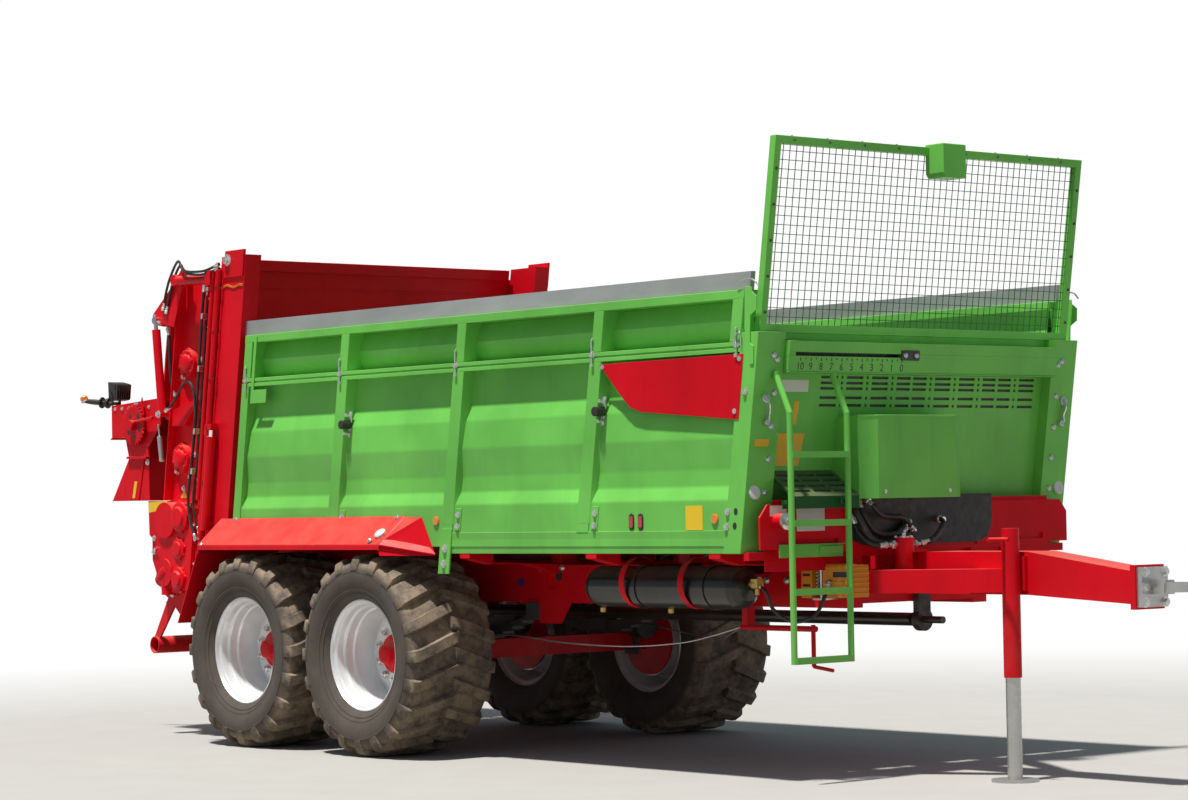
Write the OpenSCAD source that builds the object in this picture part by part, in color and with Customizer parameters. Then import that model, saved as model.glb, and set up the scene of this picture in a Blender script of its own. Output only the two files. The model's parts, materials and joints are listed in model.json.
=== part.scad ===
// Tandem-axle manure spreader: a leaning load body on a tractor-drawn chassis, with a sliding rear
// gate, two lying beaters, two spreading discs under a hinged hood, and a slat and chain floor.
// Millimetres. +X points forward to the tow eye, +Y to the machine's left, +Z up, ground at z = 0.
// Lengths along X are counted from the front axle, and machine() moves them to the origin.

/* [Running gear] */
// Radius of a tyre over its lug tips
tyre_r = 538; // [500:1:545]
// Width of a tyre over its sidewalls
tyre_w = 560; // [450:5:600]
// Depth of a tyre lug
lug_h = 33; // [15:1:45]
// Lugs in each of a tyre's two rows
lug_count = 20; // [14:1:26]
// Radius of a rim over its lips
rim_r = 298; // [280:1:310]
// Distance between the centre planes of left and right wheels
track = 1990; // [1900:5:2100]
// Distance between the two axles
axle_gap = 1120; // [1105:5:1250]
// Side of the square axle tube
axle_beam = 100; // [80:5:120]
// Radius of a stub axle in its hub
stub_r = 45; // [35:1:55]

/* [Load body] */
// Lean of posts and end walls towards the front, in degrees
lean_deg = 8.5; // [0:0.5:12]
// Height at which the leaning lines are placed
lean_z = 1600; // [1400:10:1800]
// Spacing of the side posts
bay = 1052; // [900:4:1150]
// Bays between the end posts
bay_count = 4; // [3:1:5]
// Distance from the rear axle back to the rear end of the body
body_overhang = 280; // [200:5:400]
// Half width of the body over its side posts
post_y = 1105; // [1060:5:1140]
// Height of the load floor
floor_z = 1220; // [1205:5:1250]
// Height of the seam between the side wall and its lower strip
seam_z = 1183; // [1160:1:1220]
// Height of the upper edge of the pressed side wall
wall_z = 2010; // [1900:5:2100]
// Height of the rail between the wall and the upper board
rail_h = 48; // [30:1:70]
// Height of the upper edge of the upper board
board_z = 2300; // [2200:5:2400]
// Height of the grey board on top of the upper board
crest_h = 85; // [40:5:120]
// Thickness of the body's sheet walls
sheet = 8; // [5:1:12]
// Width of a side post along the body
post_w = 100; // [60:5:130]

/* [Front] */
// Height of the front wall
front_z = 2100; // [2000:5:2200]
// Height of the top of the mesh screen
screen_z = 3004; // [2700:5:3200]
// Half width of the mesh screen
screen_y = 1060; // [950:5:1100]
// Distance between the bars of the screen's grid
mesh_pitch = 150; // [100:10:300]
// Distance from the front axle to the middle of the tow eye
eye_x = 4500; // [4200:10:4800]
// Radius of the tow eye's bore
eye_bore_r = 25; // [20:0.5:30]
// Height of the middle of the tow eye
eye_z = 900; // [860:5:940]
// Width and height of the drawbar beam
drawbar_w = 200; // [150:5:240]
// Spacing of the ladder's rails
ladder_w = 368; // [300:2:420]
// Rise from one rung of the ladder to the next
rung_rise = 318; // [250:2:350]
// Radius of the splined input shaft
input_r = 17.5; // [15:0.5:25]

/* [Chassis] */
// Height of the underside of the main beams
frame_z = 800; // [780:5:840]
// Height of a main beam
frame_h = 200; // [150:5:240]
// Width of a main beam
frame_w = 100; // [70:5:120]
// Half distance between the middles of the main beams
frame_y = 430; // [380:5:480]
// Radius of the air tank
tank_r = 103; // [80:1:120]
// Length of the air tank
tank_len = 1150; // [700:10:1250]

/* [Spreading unit] */
// Distance from the body's rear end back to the unit's front edge
unit_gap = 450; // [430:1:480]
// Depth of the unit's side plates along X
unit_depth = 316; // [300:2:360]
// Inner half width of the unit
unit_y = 1000; // [960:5:1040]
// Height of the top of the unit
unit_z = 2690; // [2500:10:2800]
// Distance from the unit's front edge back to the beater axes
beater_back = 180; // [170:1:190]
// Height of the lower beater's axis
beater_z = 1622; // [1560:2:1700]
// Distance between the beater axes, measured in height
beater_rise = 552; // [540:2:620]
// Radius of a beater over its blade tips
beater_r = 262; // [200:1:268]
// Radius of a beater's tube
beater_tube_r = 95; // [70:1:120]
// Stations of blades along a beater
blade_rows = 15; // [9:2:21]
// Radius of a spreading disc
disc_r = 440; // [380:5:460]
// Half distance between the disc axes
disc_y = 500; // [480:5:520]
// Height of a disc's plate
disc_z = 770; // [740:5:800]
// Travel of the rear gate
gate_travel = 450; // [300:10:450]
// Radius of the pins and shafts of hinges
pin_r = 15; // [10:0.5:20]

/* [Hidden] */
$fn = 48;

green = "#4fae3f";
dark_green = "#2f7d36";
red = "#c4161c";
steel = "#8f9396";
black = "#202224";
silver = "#c9ccce";
running = 0.05;
fit = 0.3;

// Where the lamp tips and the tow eye's ring end, and the middle between them
lamp_tip_x = -3057;
eye_ring_r = eye_bore_r + 35;
mid_x = (eye_x + eye_ring_r + lamp_tip_x) / 2;

// Leaning lines, given at lean_z
body_rear = -axle_gap - body_overhang;
body_front = body_rear + bay_count * bay + 100;
unit_x = body_rear - unit_gap;
beater_x = unit_x - beater_back;
gate_x = body_rear - 272;
post_inner_y = 1000;
corner_w = 118;
corner_y = post_y - 177;
mid_post = body_rear + 2 * bay;
drawbar_back = body_front - 320;
drawbar_top = frame_z + frame_h + 60;
deck_z = seam_z + 137;
wall_y = [post_y - 5, post_y - 85, post_y - 45, post_y - 100];
drive_z = 730;
hub_y = track / 2;

function lean(z) = (z - lean_z) * tan(lean_deg);
function slant(x0, x1, z0, z1) =
  [[x0 + lean(z0), z0], [x1 + lean(z0), z0], [x1 + lean(z1), z1], [x0 + lean(z1), z1]];

// Moves the machine from its front axle to the middle of its outline
module machine() {
  translate([-mid_x, 0, 0]) children();
}

// A side view drawn in X and Z, as thick as from y0 to y1
module side_view(y0, y1) {
  translate([0, y1, 0]) rotate([90, 0, 0]) linear_extrude(y1 - y0) children();
}

// A front view drawn in Y and Z, carried from x0 to x1
module front_view(x0, x1) {
  translate([x0, 0, 0]) rotate([90, 0, 90]) linear_extrude(x1 - x0) children();
}

module block(x, y, z) {
  translate([x[0], y[0], z[0]]) cube([x[1] - x[0], y[1] - y[0], z[1] - z[0]]);
}

module leaning_block(x, y, z) {
  side_view(y[0], y[1]) polygon(slant(x[0], x[1], z[0], z[1]));
}

module both_sides() {
  children();
  mirror([0, 1, 0]) children();
}

// A round bar between two points
module bar(p, q, r) {
  v = q - p;
  translate(p) rotate([0, acos(v[2] / norm(v)), atan2(v[1], v[0])]) cylinder(h = norm(v), r = r);
}

// A round shape along X, from x0 to x1
module across_x(x0, x1, y, z, r) {
  translate([x0, y, z]) rotate([0, 90, 0]) cylinder(h = x1 - x0, r = r);
}

// A round shape along Y, from y0 to y1
module across(x, y0, y1, z, r) {
  translate([x, y1, z]) rotate([90, 0, 0]) cylinder(h = y1 - y0, r = r);
}

// Chassis
module main_frame() {
  rear = body_rear - 380;
  front = body_front - 10;
  top = frame_z + frame_h;
  under_floor = floor_z - 20;
  // Where the floor's cross bearers start, from the rear
  bearers = [body_rear - 240, body_rear - 40, body_rear + bay + 20, body_rear + 2 * bay - 20,
    body_rear + 3 * bay - 60, body_front - 310];
  machine() color(red) difference() {
    union() {
      both_sides() {
        block([rear, front], [frame_y - frame_w / 2, frame_y + frame_w / 2], [frame_z, top]);
        for (i = [0 : len(bearers) - 1]) {
          x = bearers[i];
          half = i == 0 ? post_inner_y : wall_y[0] - sheet;
          block([x, x + 80], [0, half], [under_floor - 32, under_floor]);
          block([x, x + 80], [frame_y - frame_w / 2, frame_y + frame_w / 2], [top, under_floor]);
          if (i > 2) front_view(x, x + 80)
            polygon([[frame_y, top - 60], [frame_y, top], [935, top + 24], [935, under_floor],
              [wall_y[0] - sheet, under_floor], [wall_y[0] - sheet, top + 50], [940, top + 14], [700, top + 8]]);
        }
        difference() {
          side_view(frame_y + frame_w / 2, frame_y + frame_w / 2 + 8)
            polygon([[590, frame_z - 110], [760, frame_z - 110], [1000, top], [582, top]]);
          across(690, frame_y, post_y, frame_z + 110, 38);
        }
      }
      for (x = [rear, -axle_gap / 2 - 50, 600, 1700, front - 100])
        block([x, x + 100], [-frame_y, frame_y], [frame_z + 20, top - 20]);
      // Front cross member that closes the floor's front end
      block([body_front - 98, body_front], [-corner_y, corner_y], [top + 70, deck_z]);
      both_sides() block([body_front - 98, front], [frame_y - frame_w / 2, frame_y + frame_w / 2], [top, top + 80]);
      both_sides() difference() {
        front_view(body_front, body_front + 12)
          polygon([[400, frame_z + 290], [1060, frame_z + 290], [1060, 1240], [1010, deck_z - 20], [400, deck_z - 20]]);
        block([body_front - 5, body_front + 20], [560, 880], [frame_z + 306, frame_z + 336]);
      }
      across_x(body_front + 12, body_front + 70, -950, 1222, 36);
    }
    block([drawbar_back, body_front + 50], [-drawbar_w / 2, drawbar_w / 2], [drawbar_top - drawbar_w, drawbar_top]);
  }
}

module drawbar() {
  low = drawbar_top - drawbar_w;
  half = drawbar_w / 2;
  brace_x = body_front - 10;
  machine() color(red) {
    side_view(-half, half)
      polygon([[drawbar_back, low], [drawbar_back, drawbar_top], [3700, drawbar_top],
        [eye_x - 190, eye_z + 75], [eye_x - 190, eye_z - 75], [3700, low]]);
    block([eye_x - 190, eye_x - 160], [-100, 100], [eye_z - 100, eye_z + 100]);
    both_sides() translate([0, 0, low + 10]) linear_extrude(drawbar_w - 90)
      polygon([[brace_x, frame_y + frame_w / 2], [brace_x, frame_y - frame_w / 2], [3400, half - 2],
        [3560, half - 2], [brace_x + 60, frame_y + frame_w / 2]]);
  }
}

module tow_eye() {
  machine() color(steel) difference() {
    union() {
      translate([eye_x, 0, eye_z - 22]) cylinder(h = 44, r = eye_ring_r);
      block([eye_x - 130, eye_x - 45], [-32, 32], [eye_z - 32, eye_z + 32]);
      block([eye_x - 160, eye_x - 130], [-90, 90], [eye_z - 90, eye_z + 90]);
    }
    translate([eye_x, 0, eye_z - 60]) cylinder(h = 120, r = eye_bore_r);
  }
}

jack_x = 3650;
jack_y = -drawbar_w / 2 - 62;
module jack_sleeve() {
  machine() color(red) {
    difference() {
      translate([jack_x, jack_y, 480]) cylinder(h = 690, r = 42);
      translate([jack_x, jack_y, 470]) cylinder(h = 680, r = 35 + running);
    }
    block([jack_x - 50, jack_x + 50], [jack_y + 38, jack_y + 62], [880, 1040]);
    bar([jack_x, jack_y - 40, 1120], [jack_x, jack_y - 150, 1120], 9);
    bar([jack_x, jack_y - 142, 1120], [jack_x + 120, jack_y - 142, 1120], 9);
  }
}

module jack_leg() {
  machine() color(steel) {
    translate([jack_x, jack_y, 12]) cylinder(h = 770, r = 35);
    translate([jack_x, jack_y, 0]) cylinder(h = 12, r = 110);
  }
}

module at_axles() {
  for (x = [0, -axle_gap]) translate([x, 0, tyre_r]) children();
}

module axle_beams() {
  machine() color(red) at_axles() {
    half = hub_y - tyre_w / 2 + 10;
    translate([-axle_beam / 2, -half, -axle_beam / 2]) cube([axle_beam, 2 * half, axle_beam]);
    both_sides() {
      across(0, half - 20, hub_y + 60, 0, stub_r);
      across(0, hub_y - 215, hub_y - 206, 0, 200);
    }
  }
}

spring_y = frame_y + 25;
spring_len = axle_gap - 60;
// A leaf: a shallow arc of the given half length, its middle at the given height
module leaf(half, z, thick) {
  sag = 75;
  steps = 10;
  low = [for (i = [-steps : steps]) [half * i / steps, z + sag * pow(half * i / steps / (spring_len / 2), 2)]];
  high = [for (i = [-steps : steps])
    [-half * i / steps, z + thick + sag * pow(half * i / steps / (spring_len / 2), 2)]];
  side_view(spring_y - 40, spring_y + 40) polygon(concat(low, high));
}

module leaf_springs() {
  machine() color(black) both_sides() {
    for (x = [0, -axle_gap]) translate([x, 0, 0]) {
      for (i = [0 : 4]) leaf(spring_len / 2 - i * 85, tyre_r + axle_beam / 2 + 60 - i * 14, 14.5);
      block([-60, 60], [spring_y - 45, spring_y + 45],
        [tyre_r + axle_beam / 2, tyre_r + axle_beam / 2 + 90]);
    }
    for (x = [spring_len / 2, -axle_gap / 2, -axle_gap - spring_len / 2])
      block([x - 45, x + 45], [spring_y - 44, spring_y + 44], [tyre_r + 170, frame_z]);
  }
}

module brake_gear() {
  machine() color(steel) at_axles() both_sides() {
    across(130, 515, 660, 90, 14);
    translate([110, 600, 90]) rotate([0, 90, 0]) cylinder(h = 90, r = 72);
    block([118, 142], [560, 585], [-60, 95]);
    block([axle_beam / 2, 142], [560, 585], [-70, -40]);
  }
}

tank_x = 1439;
tank_y = -820;
module air_tank() {
  z = frame_z + 104;
  machine() {
    color(black) translate([tank_x, tank_y, z]) rotate([90, 0, 90])
      rotate_extrude() polygon([[0, 0], [tank_r * 0.6, 12], [tank_r * 0.9, 38], [tank_r, 70],
        [tank_r, tank_len - 70], [tank_r * 0.9, tank_len - 38], [tank_r * 0.6, tank_len - 12],
        [0, tank_len]]);
    color(red) for (x = [tank_x + 380, tank_x + 880]) difference() {
      union() {
        translate([x, tank_y, z]) rotate([0, 90, 0]) cylinder(h = 45, r = tank_r + 5);
        block([x, x + 45], [tank_y, -frame_y - frame_w / 2], [z + tank_r - 45, z + tank_r + 5]);
      }
      translate([x - 5, tank_y, z]) rotate([0, 90, 0]) cylinder(h = 55, r = tank_r - 1);
    }
  }
}

// Fenders: a sloped lid over both wheels, a front facet and a leaning rear flap
fender_z = 1271;
fender_edge_z = 1125;
module fenders() {
  rear_out = -axle_gap - 390;
  edge_y = hub_y + tyre_w / 2 - 2;
  front_tip = [490, post_y + 1, 1066];
  machine() color(red) both_sides() {
    front_view(rear_out, 230)
      polygon([[post_y, fender_z], [post_y + 4, fender_z], [edge_y, fender_edge_z],
        [edge_y, fender_edge_z - 7], [post_y, fender_z - 10]]);
    hull() for (p = [[224, post_y, fender_z - 6], [224, edge_y - 6, fender_edge_z - 6], front_tip])
      translate(p) cube(6);
    side_view(unit_y - 280, edge_y)
      polygon([[rear_out, fender_edge_z - 30], [rear_out + 8, fender_edge_z - 30],
        [-axle_gap - 600, 680], [-axle_gap - 608, 680]]);
    block([rear_out, rear_out + 8], [post_y, edge_y], [fender_edge_z - 46, fender_edge_z]);
    front_view(rear_out, rear_out + 8)
      polygon([[post_y, fender_edge_z - 8], [edge_y, fender_edge_z - 8], [edge_y, fender_edge_z - 2],
        [post_y, fender_z - 4]]);
    block([rear_out, rear_out + 8], [unit_y - 280, post_y], [fender_edge_z - 46, fender_edge_z - 30]);
  }
}

bumper_x = -2385;
bumper_z = 530;
bumper_overhang = 15;
bumper_half = unit_y + bumper_overhang;
module bumper() {
  machine() color(red) {
    difference() {
      across(bumper_x, -bumper_half, bumper_half, bumper_z, 50);
      across(bumper_x, -bumper_half - 10, bumper_half + 10, bumper_z, 44);
    }
    both_sides() side_view(unit_y - 12, unit_y)
      polygon([[bumper_x - 30, bumper_z + 36], [bumper_x + 30, bumper_z + 36], [bumper_x + 285, 860],
        [bumper_x + 165, 860]]);
  }
}

// Load body. The side wall's pressed profile is listed from the seam up, as half width and height.
WALL = [[wall_y[0], seam_z - 73], [wall_y[0], 1311], [wall_y[1], 1367], [wall_y[1], 1448],
  [wall_y[2], 1600], [wall_y[2], 1734], [wall_y[3], 1805], [wall_y[3], wall_z + 5]];

module wall_profile() {
  n = len(WALL);
  polygon(concat(WALL, [for (i = [n - 1 : -1 : 0]) WALL[i] - [sheet, 0]]));
}

// One side wall, drawn on the left
module side_wall() {
  board_end = body_front - corner_w;
  color(green) {
    intersection() {
      front_view(body_rear - 800, body_front + 500) wall_profile();
      leaning_block([body_rear + 5, board_end + 10], [0, post_y], [seam_z - 73, wall_z + 5]);
    }
    // Posts, whose lower ends pass outside the floor
    for (i = [0 : bay_count - 1]) {
      at = body_rear + i * bay;
      x = i == 0 ? [at, at + 70] : [at - post_w / 2, at + post_w / 2];
      leaning_block(x, [wall_y[3] - sheet, post_y], [floor_z, wall_z]);
      leaning_block(x, [wall_y[0] - 4, post_y], [seam_z - 6, floor_z + 10]);
    }
    leaning_block([mid_post - post_w / 2 + 3, mid_post + post_w / 2 - 3], [post_y - 12, post_y + 2], [968, seam_z + 20]);
    leaning_block([board_end, body_front], [corner_y, post_y], [seam_z - 110, front_z]);
    difference() {
      leaning_block([body_rear, board_end + 10], [wall_y[3] - sheet, post_y], [wall_z, wall_z + rail_h]);
      leaning_block([body_rear - 20, board_end - 5], [post_y - 6, post_y + 5],
        [wall_z + rail_h / 2 - 3, wall_z + rail_h / 2 + 3]);
    }
    leaning_block([mid_post, board_end + 10], [post_y - 12, post_y - 4], [seam_z - 110, seam_z]);
    // Rear end of the wall behind the gate post
    leaning_block([unit_x + 10.3, gate_x - 52.3], [post_inner_y + 2, post_inner_y + 8], [floor_z - 20, wall_z]);
  }
}

module side_wall_left() {
  machine() side_wall();
}

module side_wall_right() {
  machine() mirror([0, 1, 0]) side_wall();
}

// One upper board with its posts and top rail, drawn on the left
module upper_board() {
  low = wall_z + rail_h;
  end = body_front - corner_w;
  color(green) {
    intersection() {
      front_view(body_rear - 800, body_front + 500)
        polygon([[wall_y[3], low], [wall_y[3] + 34, low + 105], [wall_y[3], board_z - 41],
          [wall_y[3] - sheet, board_z - 41], [wall_y[3] + 34 - sheet, low + 105], [wall_y[3] - sheet, low]]);
      leaning_block([body_rear + 2, end - 2], [0, post_y], [low, board_z - 41]);
    }
    leaning_block([body_rear, end], [wall_y[3] - sheet, post_y], [board_z - 42, board_z]);
    for (i = [0 : bay_count]) {
      x = i == 0 ? body_rear + 40 : (i == bay_count ? end - 40 : body_rear + i * bay);
      leaning_block([x - 40, x + 40], [wall_y[3], post_y - 6], [low, board_z - 42]);
    }
  }
}

module upper_board_left() {
  machine() upper_board();
}

module upper_board_right() {
  machine() mirror([0, 1, 0]) upper_board();
}

module crest_boards() {
  machine() color(steel) both_sides()
    leaning_block([body_rear, body_front - corner_w], [post_y - 60, post_y - 32], [board_z, board_z + crest_h]);
}

wall_x = body_front - 60;
module front_wall() {
  slots = [[-760, -240], [240, 760]];
  machine() color(green) {
    difference() {
      leaning_block([wall_x - sheet, wall_x], [-corner_y, corner_y], [seam_z + 7, front_z]);
      for (g = slots, row = [0 : 3], k = [0 : 5]) {
        y = g[0] + k * 88;
        z = 1790 + row * 32;
        leaning_block([wall_x - 40, wall_x + 40], [y, y + 60], [z, z + 12]);
      }
    }
    difference() {
      leaning_block([wall_x, body_front + 32], [-corner_y, corner_y], [1917, 2060]);
      leaning_block([body_front + 26, body_front + 60], [-880, -640], [2010, 2022]);
    }
  }
}

module mesh_screen() {
  x = body_front - corner_w / 2;
  low = front_z;
  machine() color(green) {
    difference() {
      leaning_block([x - 20, x + 20], [-screen_y, screen_y], [low, screen_z]);
      leaning_block([x - 40, x + 40], [-screen_y + 40, screen_y - 40], [low + 40, screen_z - 40]);
    }
    for (y = [-screen_y + mesh_pitch : mesh_pitch : screen_y - mesh_pitch / 2])
      leaning_block([x - 4, x + 4], [y - 3, y + 3], [low + 20, screen_z - 20]);
    for (z = [low + mesh_pitch : mesh_pitch : screen_z - mesh_pitch / 2])
      leaning_block([x - 4, x + 4], [-screen_y + 20, screen_y - 20], [z - 3, z + 3]);
    front_view(x + lean(screen_z) - 10, x + lean(screen_z) + 74)
      polygon([[-35, screen_z + 14], [232, screen_z + 14], [232, screen_z - 148], [-10, screen_z - 148],
        [-35, screen_z - 110]]);
  }
}

module floor_plate() {
  machine() color(steel) {
    block([body_rear - 56.5, chain_front - 40], [-wall_y[0] + sheet, wall_y[0] - sheet], [floor_z - 20, floor_z]);
    block([chain_rear + 40, body_rear - 56.5], [-post_inner_y, post_inner_y], [floor_z - 20, floor_z]);
    block([chain_front + 5, body_front - 129], [-corner_y, corner_y], [floor_z - 20, floor_z]);
  }
}

chain_rear = unit_x + 20;
chain_front = body_front - 200;
slat_pitch = (bay - 40) / 3;
module scraper_chain() {
  // Heights of the running surface and of the returning strand's underside
  top = floor_z + 0.3;
  low = floor_z - 94;
  t = 14;
  machine() color(black) {
    for (y = [-840, -280, 280, 840]) side_view(y - 12, y + 12) difference() {
      polygon([[chain_rear, low + 30], [chain_rear + 30, low], [chain_front - 30, low],
        [chain_front, low + 30], [chain_front, top + t - 30], [chain_front - 30, top + t],
        [chain_rear + 30, top + t], [chain_rear, top + t - 30]]);
      polygon([[chain_rear + 20, low + 32], [chain_rear + 38, low + 12], [chain_front - 38, low + 12],
        [chain_front - 20, low + 32], [chain_front - 20, top - 20], [chain_front - 38, top],
        [chain_rear + 38, top], [chain_rear + 20, top - 20]]);
    }
    for (x = [body_rear + 188 - slat_pitch : slat_pitch : chain_front - 60]) {
      block([x, x + 50], [-930, 930], [top, top + 30]);
      block([x, x + 50], [-930, 930], [low - 26, low + 2]);
    }
  }
}

// Ladder on the right of the front wall
ladder_x = 3055;
ladder_y = -987;
module ladder() {
  knee = 1720;
  top = [body_front + lean(1917) + 15.3, 1917];
  machine() color(green) {
    for (y = [ladder_y, ladder_y + ladder_w]) {
      bar([ladder_x, y, 560], [ladder_x, y, knee + 6], 15);
      bar([ladder_x + 2, y, knee - 4], [top[0], y, top[1] - 20], 15);
      bar([top[0], y, top[1] - 27], [top[0], y, top[1]], 15);
    }
    for (i = [0 : 3]) block([ladder_x - 18, ladder_x + 18], [ladder_y, ladder_y + ladder_w],
      [560 + i * rung_rise, 590 + i * rung_rise]);
  }
}

module platform() {
  edge = ladder_x - 40;
  inner = -box_y - 6;
  back_z = deck_z + 138;
  machine() color(dark_green) {
    difference() {
      side_view(-corner_y, inner)
        polygon([[edge, deck_z], [edge, deck_z + 16], [wall_x + lean(back_z) + fit, back_z],
          [wall_x + lean(back_z - 12) + fit, back_z - 12]]);
      for (k = [0 : 3], j = [0 : 2])
        block([edge - 46 - k * 38, edge - 30 - k * 38], [-900 + j * 132, -790 + j * 132], [deck_z - 10, back_z]);
    }
    block([edge - 6, edge], [-corner_y, inner], [deck_z - 42, deck_z + 16]);
    block([edge - 6, edge], [ladder_y - 16, ladder_y + ladder_w + 16], [deck_z - 42, deck_z - 0.3]);
    for (y = [ladder_y, ladder_y + ladder_w])
      block([edge - 6, ladder_x - 15.3], [y - 12, y + 12], [deck_z - 20, deck_z - 0.3]);
  }
}

// A box on the front wall with bevelled front corners
box_y = 500;
module toolbox() {
  high = deck_z + 392;
  far = 190;
  machine() color(green) intersection() {
    translate([0, 0, deck_z]) linear_extrude(high - deck_z)
      polygon([[2700, -box_y], [3010, -box_y], [3062, -box_y + 80], [3062, far - 80], [3010, far], [2700, far]]);
    leaning_block([wall_x + fit, 3400], [-box_y - 5, far + 5], [deck_z, high]);
  }
}

module wheel_chocks() {
  side = frame_y + frame_w / 2;
  machine() color("#e0a020") for (x = [2690, 2892])
    side_view(-side - 114, -side)
      polygon([[x, 850], [x + 190, 850], [x + 190, 875], [x + 40, 995], [x, 995]]);
}

module oil_filter() {
  machine() color(red) {
    translate([3010, -210, 930]) cylinder(h = 130, r = 42);
    translate([3010, -210, 1060]) cylinder(h = 70, r = 52);
    block([2990, 3030], [-170, -drawbar_w / 2], [drawbar_top, drawbar_top + 20]);
    block([2980, 3040], [-170, -drawbar_w / 2 + 40], [drawbar_top, drawbar_top + 12]);
  }
}

module parking_brake() {
  y = -frame_y - frame_w / 2 - 40;
  machine() color(red) {
    bar([2200, y, 700], [2720, y, 700], 14);
    bar([2700, y, 720], [2700, y, 520], 11);
    bar([2700, y, 520], [2830, y, 505], 9);
    block([2210, 2250], [y - 10, -frame_y - frame_w / 2], [690, frame_z + 80]);
  }
}

// Spreading unit
module gate_posts() {
  machine() color(red) both_sides() {
    leaning_block([gate_x + 28, body_rear - fit], [post_inner_y, post_y], [floor_z - 60, 2760]);
    difference() {
      leaning_block([gate_x - 52, gate_x + 28], [post_y - 15, post_y], [fender_z + 60, 2700]);
      leaning_block([gate_x - 20, gate_x + 20], [post_y - 30, post_y + 10], [1720, 1830 + gate_travel]);
    }
    leaning_block([gate_x - 52, gate_x - 40], [post_inner_y, post_y - 10], [floor_z - 20, 2690]);
    bar([gate_x - 34 + lean(1380), post_y + 10, 1380], [gate_x - 34 + lean(2680), post_y + 10, 2680], 14);
    leaning_block([body_rear - 200, body_rear - 10], [post_y - 5, post_y + 10], [2640, 2790]);
  }
}

gate_cyl_x = body_rear - 180;
gate_cyl_y = post_y + 34;
gate_arm_z = 1780;
module gate_cylinders() {
  machine() color(red) both_sides() {
    difference() {
      bar([gate_cyl_x + lean(1207), gate_cyl_y, 1207], [gate_cyl_x + lean(1740), gate_cyl_y, 1740], 26);
      bar([gate_cyl_x + lean(1220), gate_cyl_y, 1220], [gate_cyl_x + lean(1760), gate_cyl_y, 1760],
        pin_r + running);
    }
    leaning_block([gate_cyl_x - 20, gate_cyl_x + 20], [post_y, gate_cyl_y - 18], [1235, 1260]);
  }
}

module gate_rods() {
  machine() color(silver) both_sides()
    bar([gate_cyl_x + lean(1232), gate_cyl_y, 1232], [gate_cyl_x + lean(gate_arm_z - 3), gate_cyl_y, gate_arm_z - 3], pin_r);
}

module rear_gate() {
  z = gate_arm_z;
  machine() color(red) {
    leaning_block([gate_x - 6, gate_x + 6], [-post_y + 25, post_y - 25], [floor_z + 45, 2700]);
    bar([gate_x + lean(2715), -post_inner_y + 12, 2715], [gate_x + lean(2715), post_inner_y - 12, 2715], 22);
    for (h = [1400, 1900, 2400])
      leaning_block([gate_x - 22, gate_x - 6], [-post_inner_y + 40, post_inner_y - 40], [h, h + 60]);
    // Arms out through the slots to the cylinder rods
    both_sides() {
      leaning_block([gate_x - 8, gate_x + 8], [post_y - 30, post_y + 20], [z - 30, z + 20]);
      leaning_block([gate_x - 8, gate_cyl_x + 20], [post_y + 7, post_y + 18], [z, z + 32]);
      leaning_block([gate_cyl_x - 22, gate_cyl_x + 22], [post_y + 7, gate_cyl_y + 20], [z, z + 32]);
    }
  }
}

// One side of the spreading unit, drawn on the left
module unit_side() {
  low = 682;
  rear = unit_x - unit_depth;
  color(red) {
    difference() {
      side_view(unit_y, unit_y + 10)
        polygon([[unit_x + lean(unit_z), unit_z], [rear + lean(unit_z - 40) + 60, unit_z], [rear + lean(unit_z - 40), unit_z - 40],
          [rear + lean(1385), 1385], [-2403, 1200], [-2403, 1031], [-2300, 840],
          [-2212, 797], [-2074, low], [-1960, low], [unit_x + lean(1000), 1000]]);
      for (z = [beater_z, beater_z + beater_rise])
        across(beater_x + lean(z), unit_y - 10, unit_y + 20, z, 40 + running);
      across(barrel_pivot[0], unit_y - 1, unit_y + 100, barrel_pivot[1], pin_r - 1 + running);
    }
    // Hinge pin of the hood
    across(hinge_x, unit_y + 2, unit_y + 60, hinge_z, 32);
    across(hinge_x, unit_y + 2, unit_y + 84, hinge_z, pin_r);
    leaning_block([unit_x, unit_x + 10], [unit_y, unit_y + 60], [1000, unit_z]);
    leaning_block([rear, rear + 10], [unit_y, unit_y + 60], [1385, unit_z - 40]);
    for (z = [beater_z, beater_z + beater_rise]) difference() {
      across(beater_x + lean(z), unit_y + 10, unit_y + 50, z, 80);
      across(beater_x + lean(z), unit_y, unit_y + 60, z, 40 + running);
    }
    // Boss of the hood cylinder's lower pivot
    difference() {
      across(barrel_pivot[0], unit_y + 10, unit_y + 58, barrel_pivot[1], 32);
      across(barrel_pivot[0], unit_y, unit_y + 100, barrel_pivot[1], pin_r - 1 + running);
    }
  }
}

module unit_side_left() {
  machine() unit_side();
}

module unit_side_right() {
  machine() mirror([0, 1, 0]) unit_side();
}

module drive_cases() {
  machine() color(red) mirror([0, 1, 0]) {
    across(-2113, unit_y + 10, unit_y + 110, 1266, 105);
    side_view(unit_y + 10, unit_y + 90)
      polygon([[-2200, 1250], [-2030, 1270], [-2080, 900], [-2200, 880]]);
    across(-2140, unit_y + 10, unit_y + 100, 960, 80);
    translate([-2152, unit_y + 60, 830]) cylinder(h = 120, r = 42);
  }
}

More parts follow.
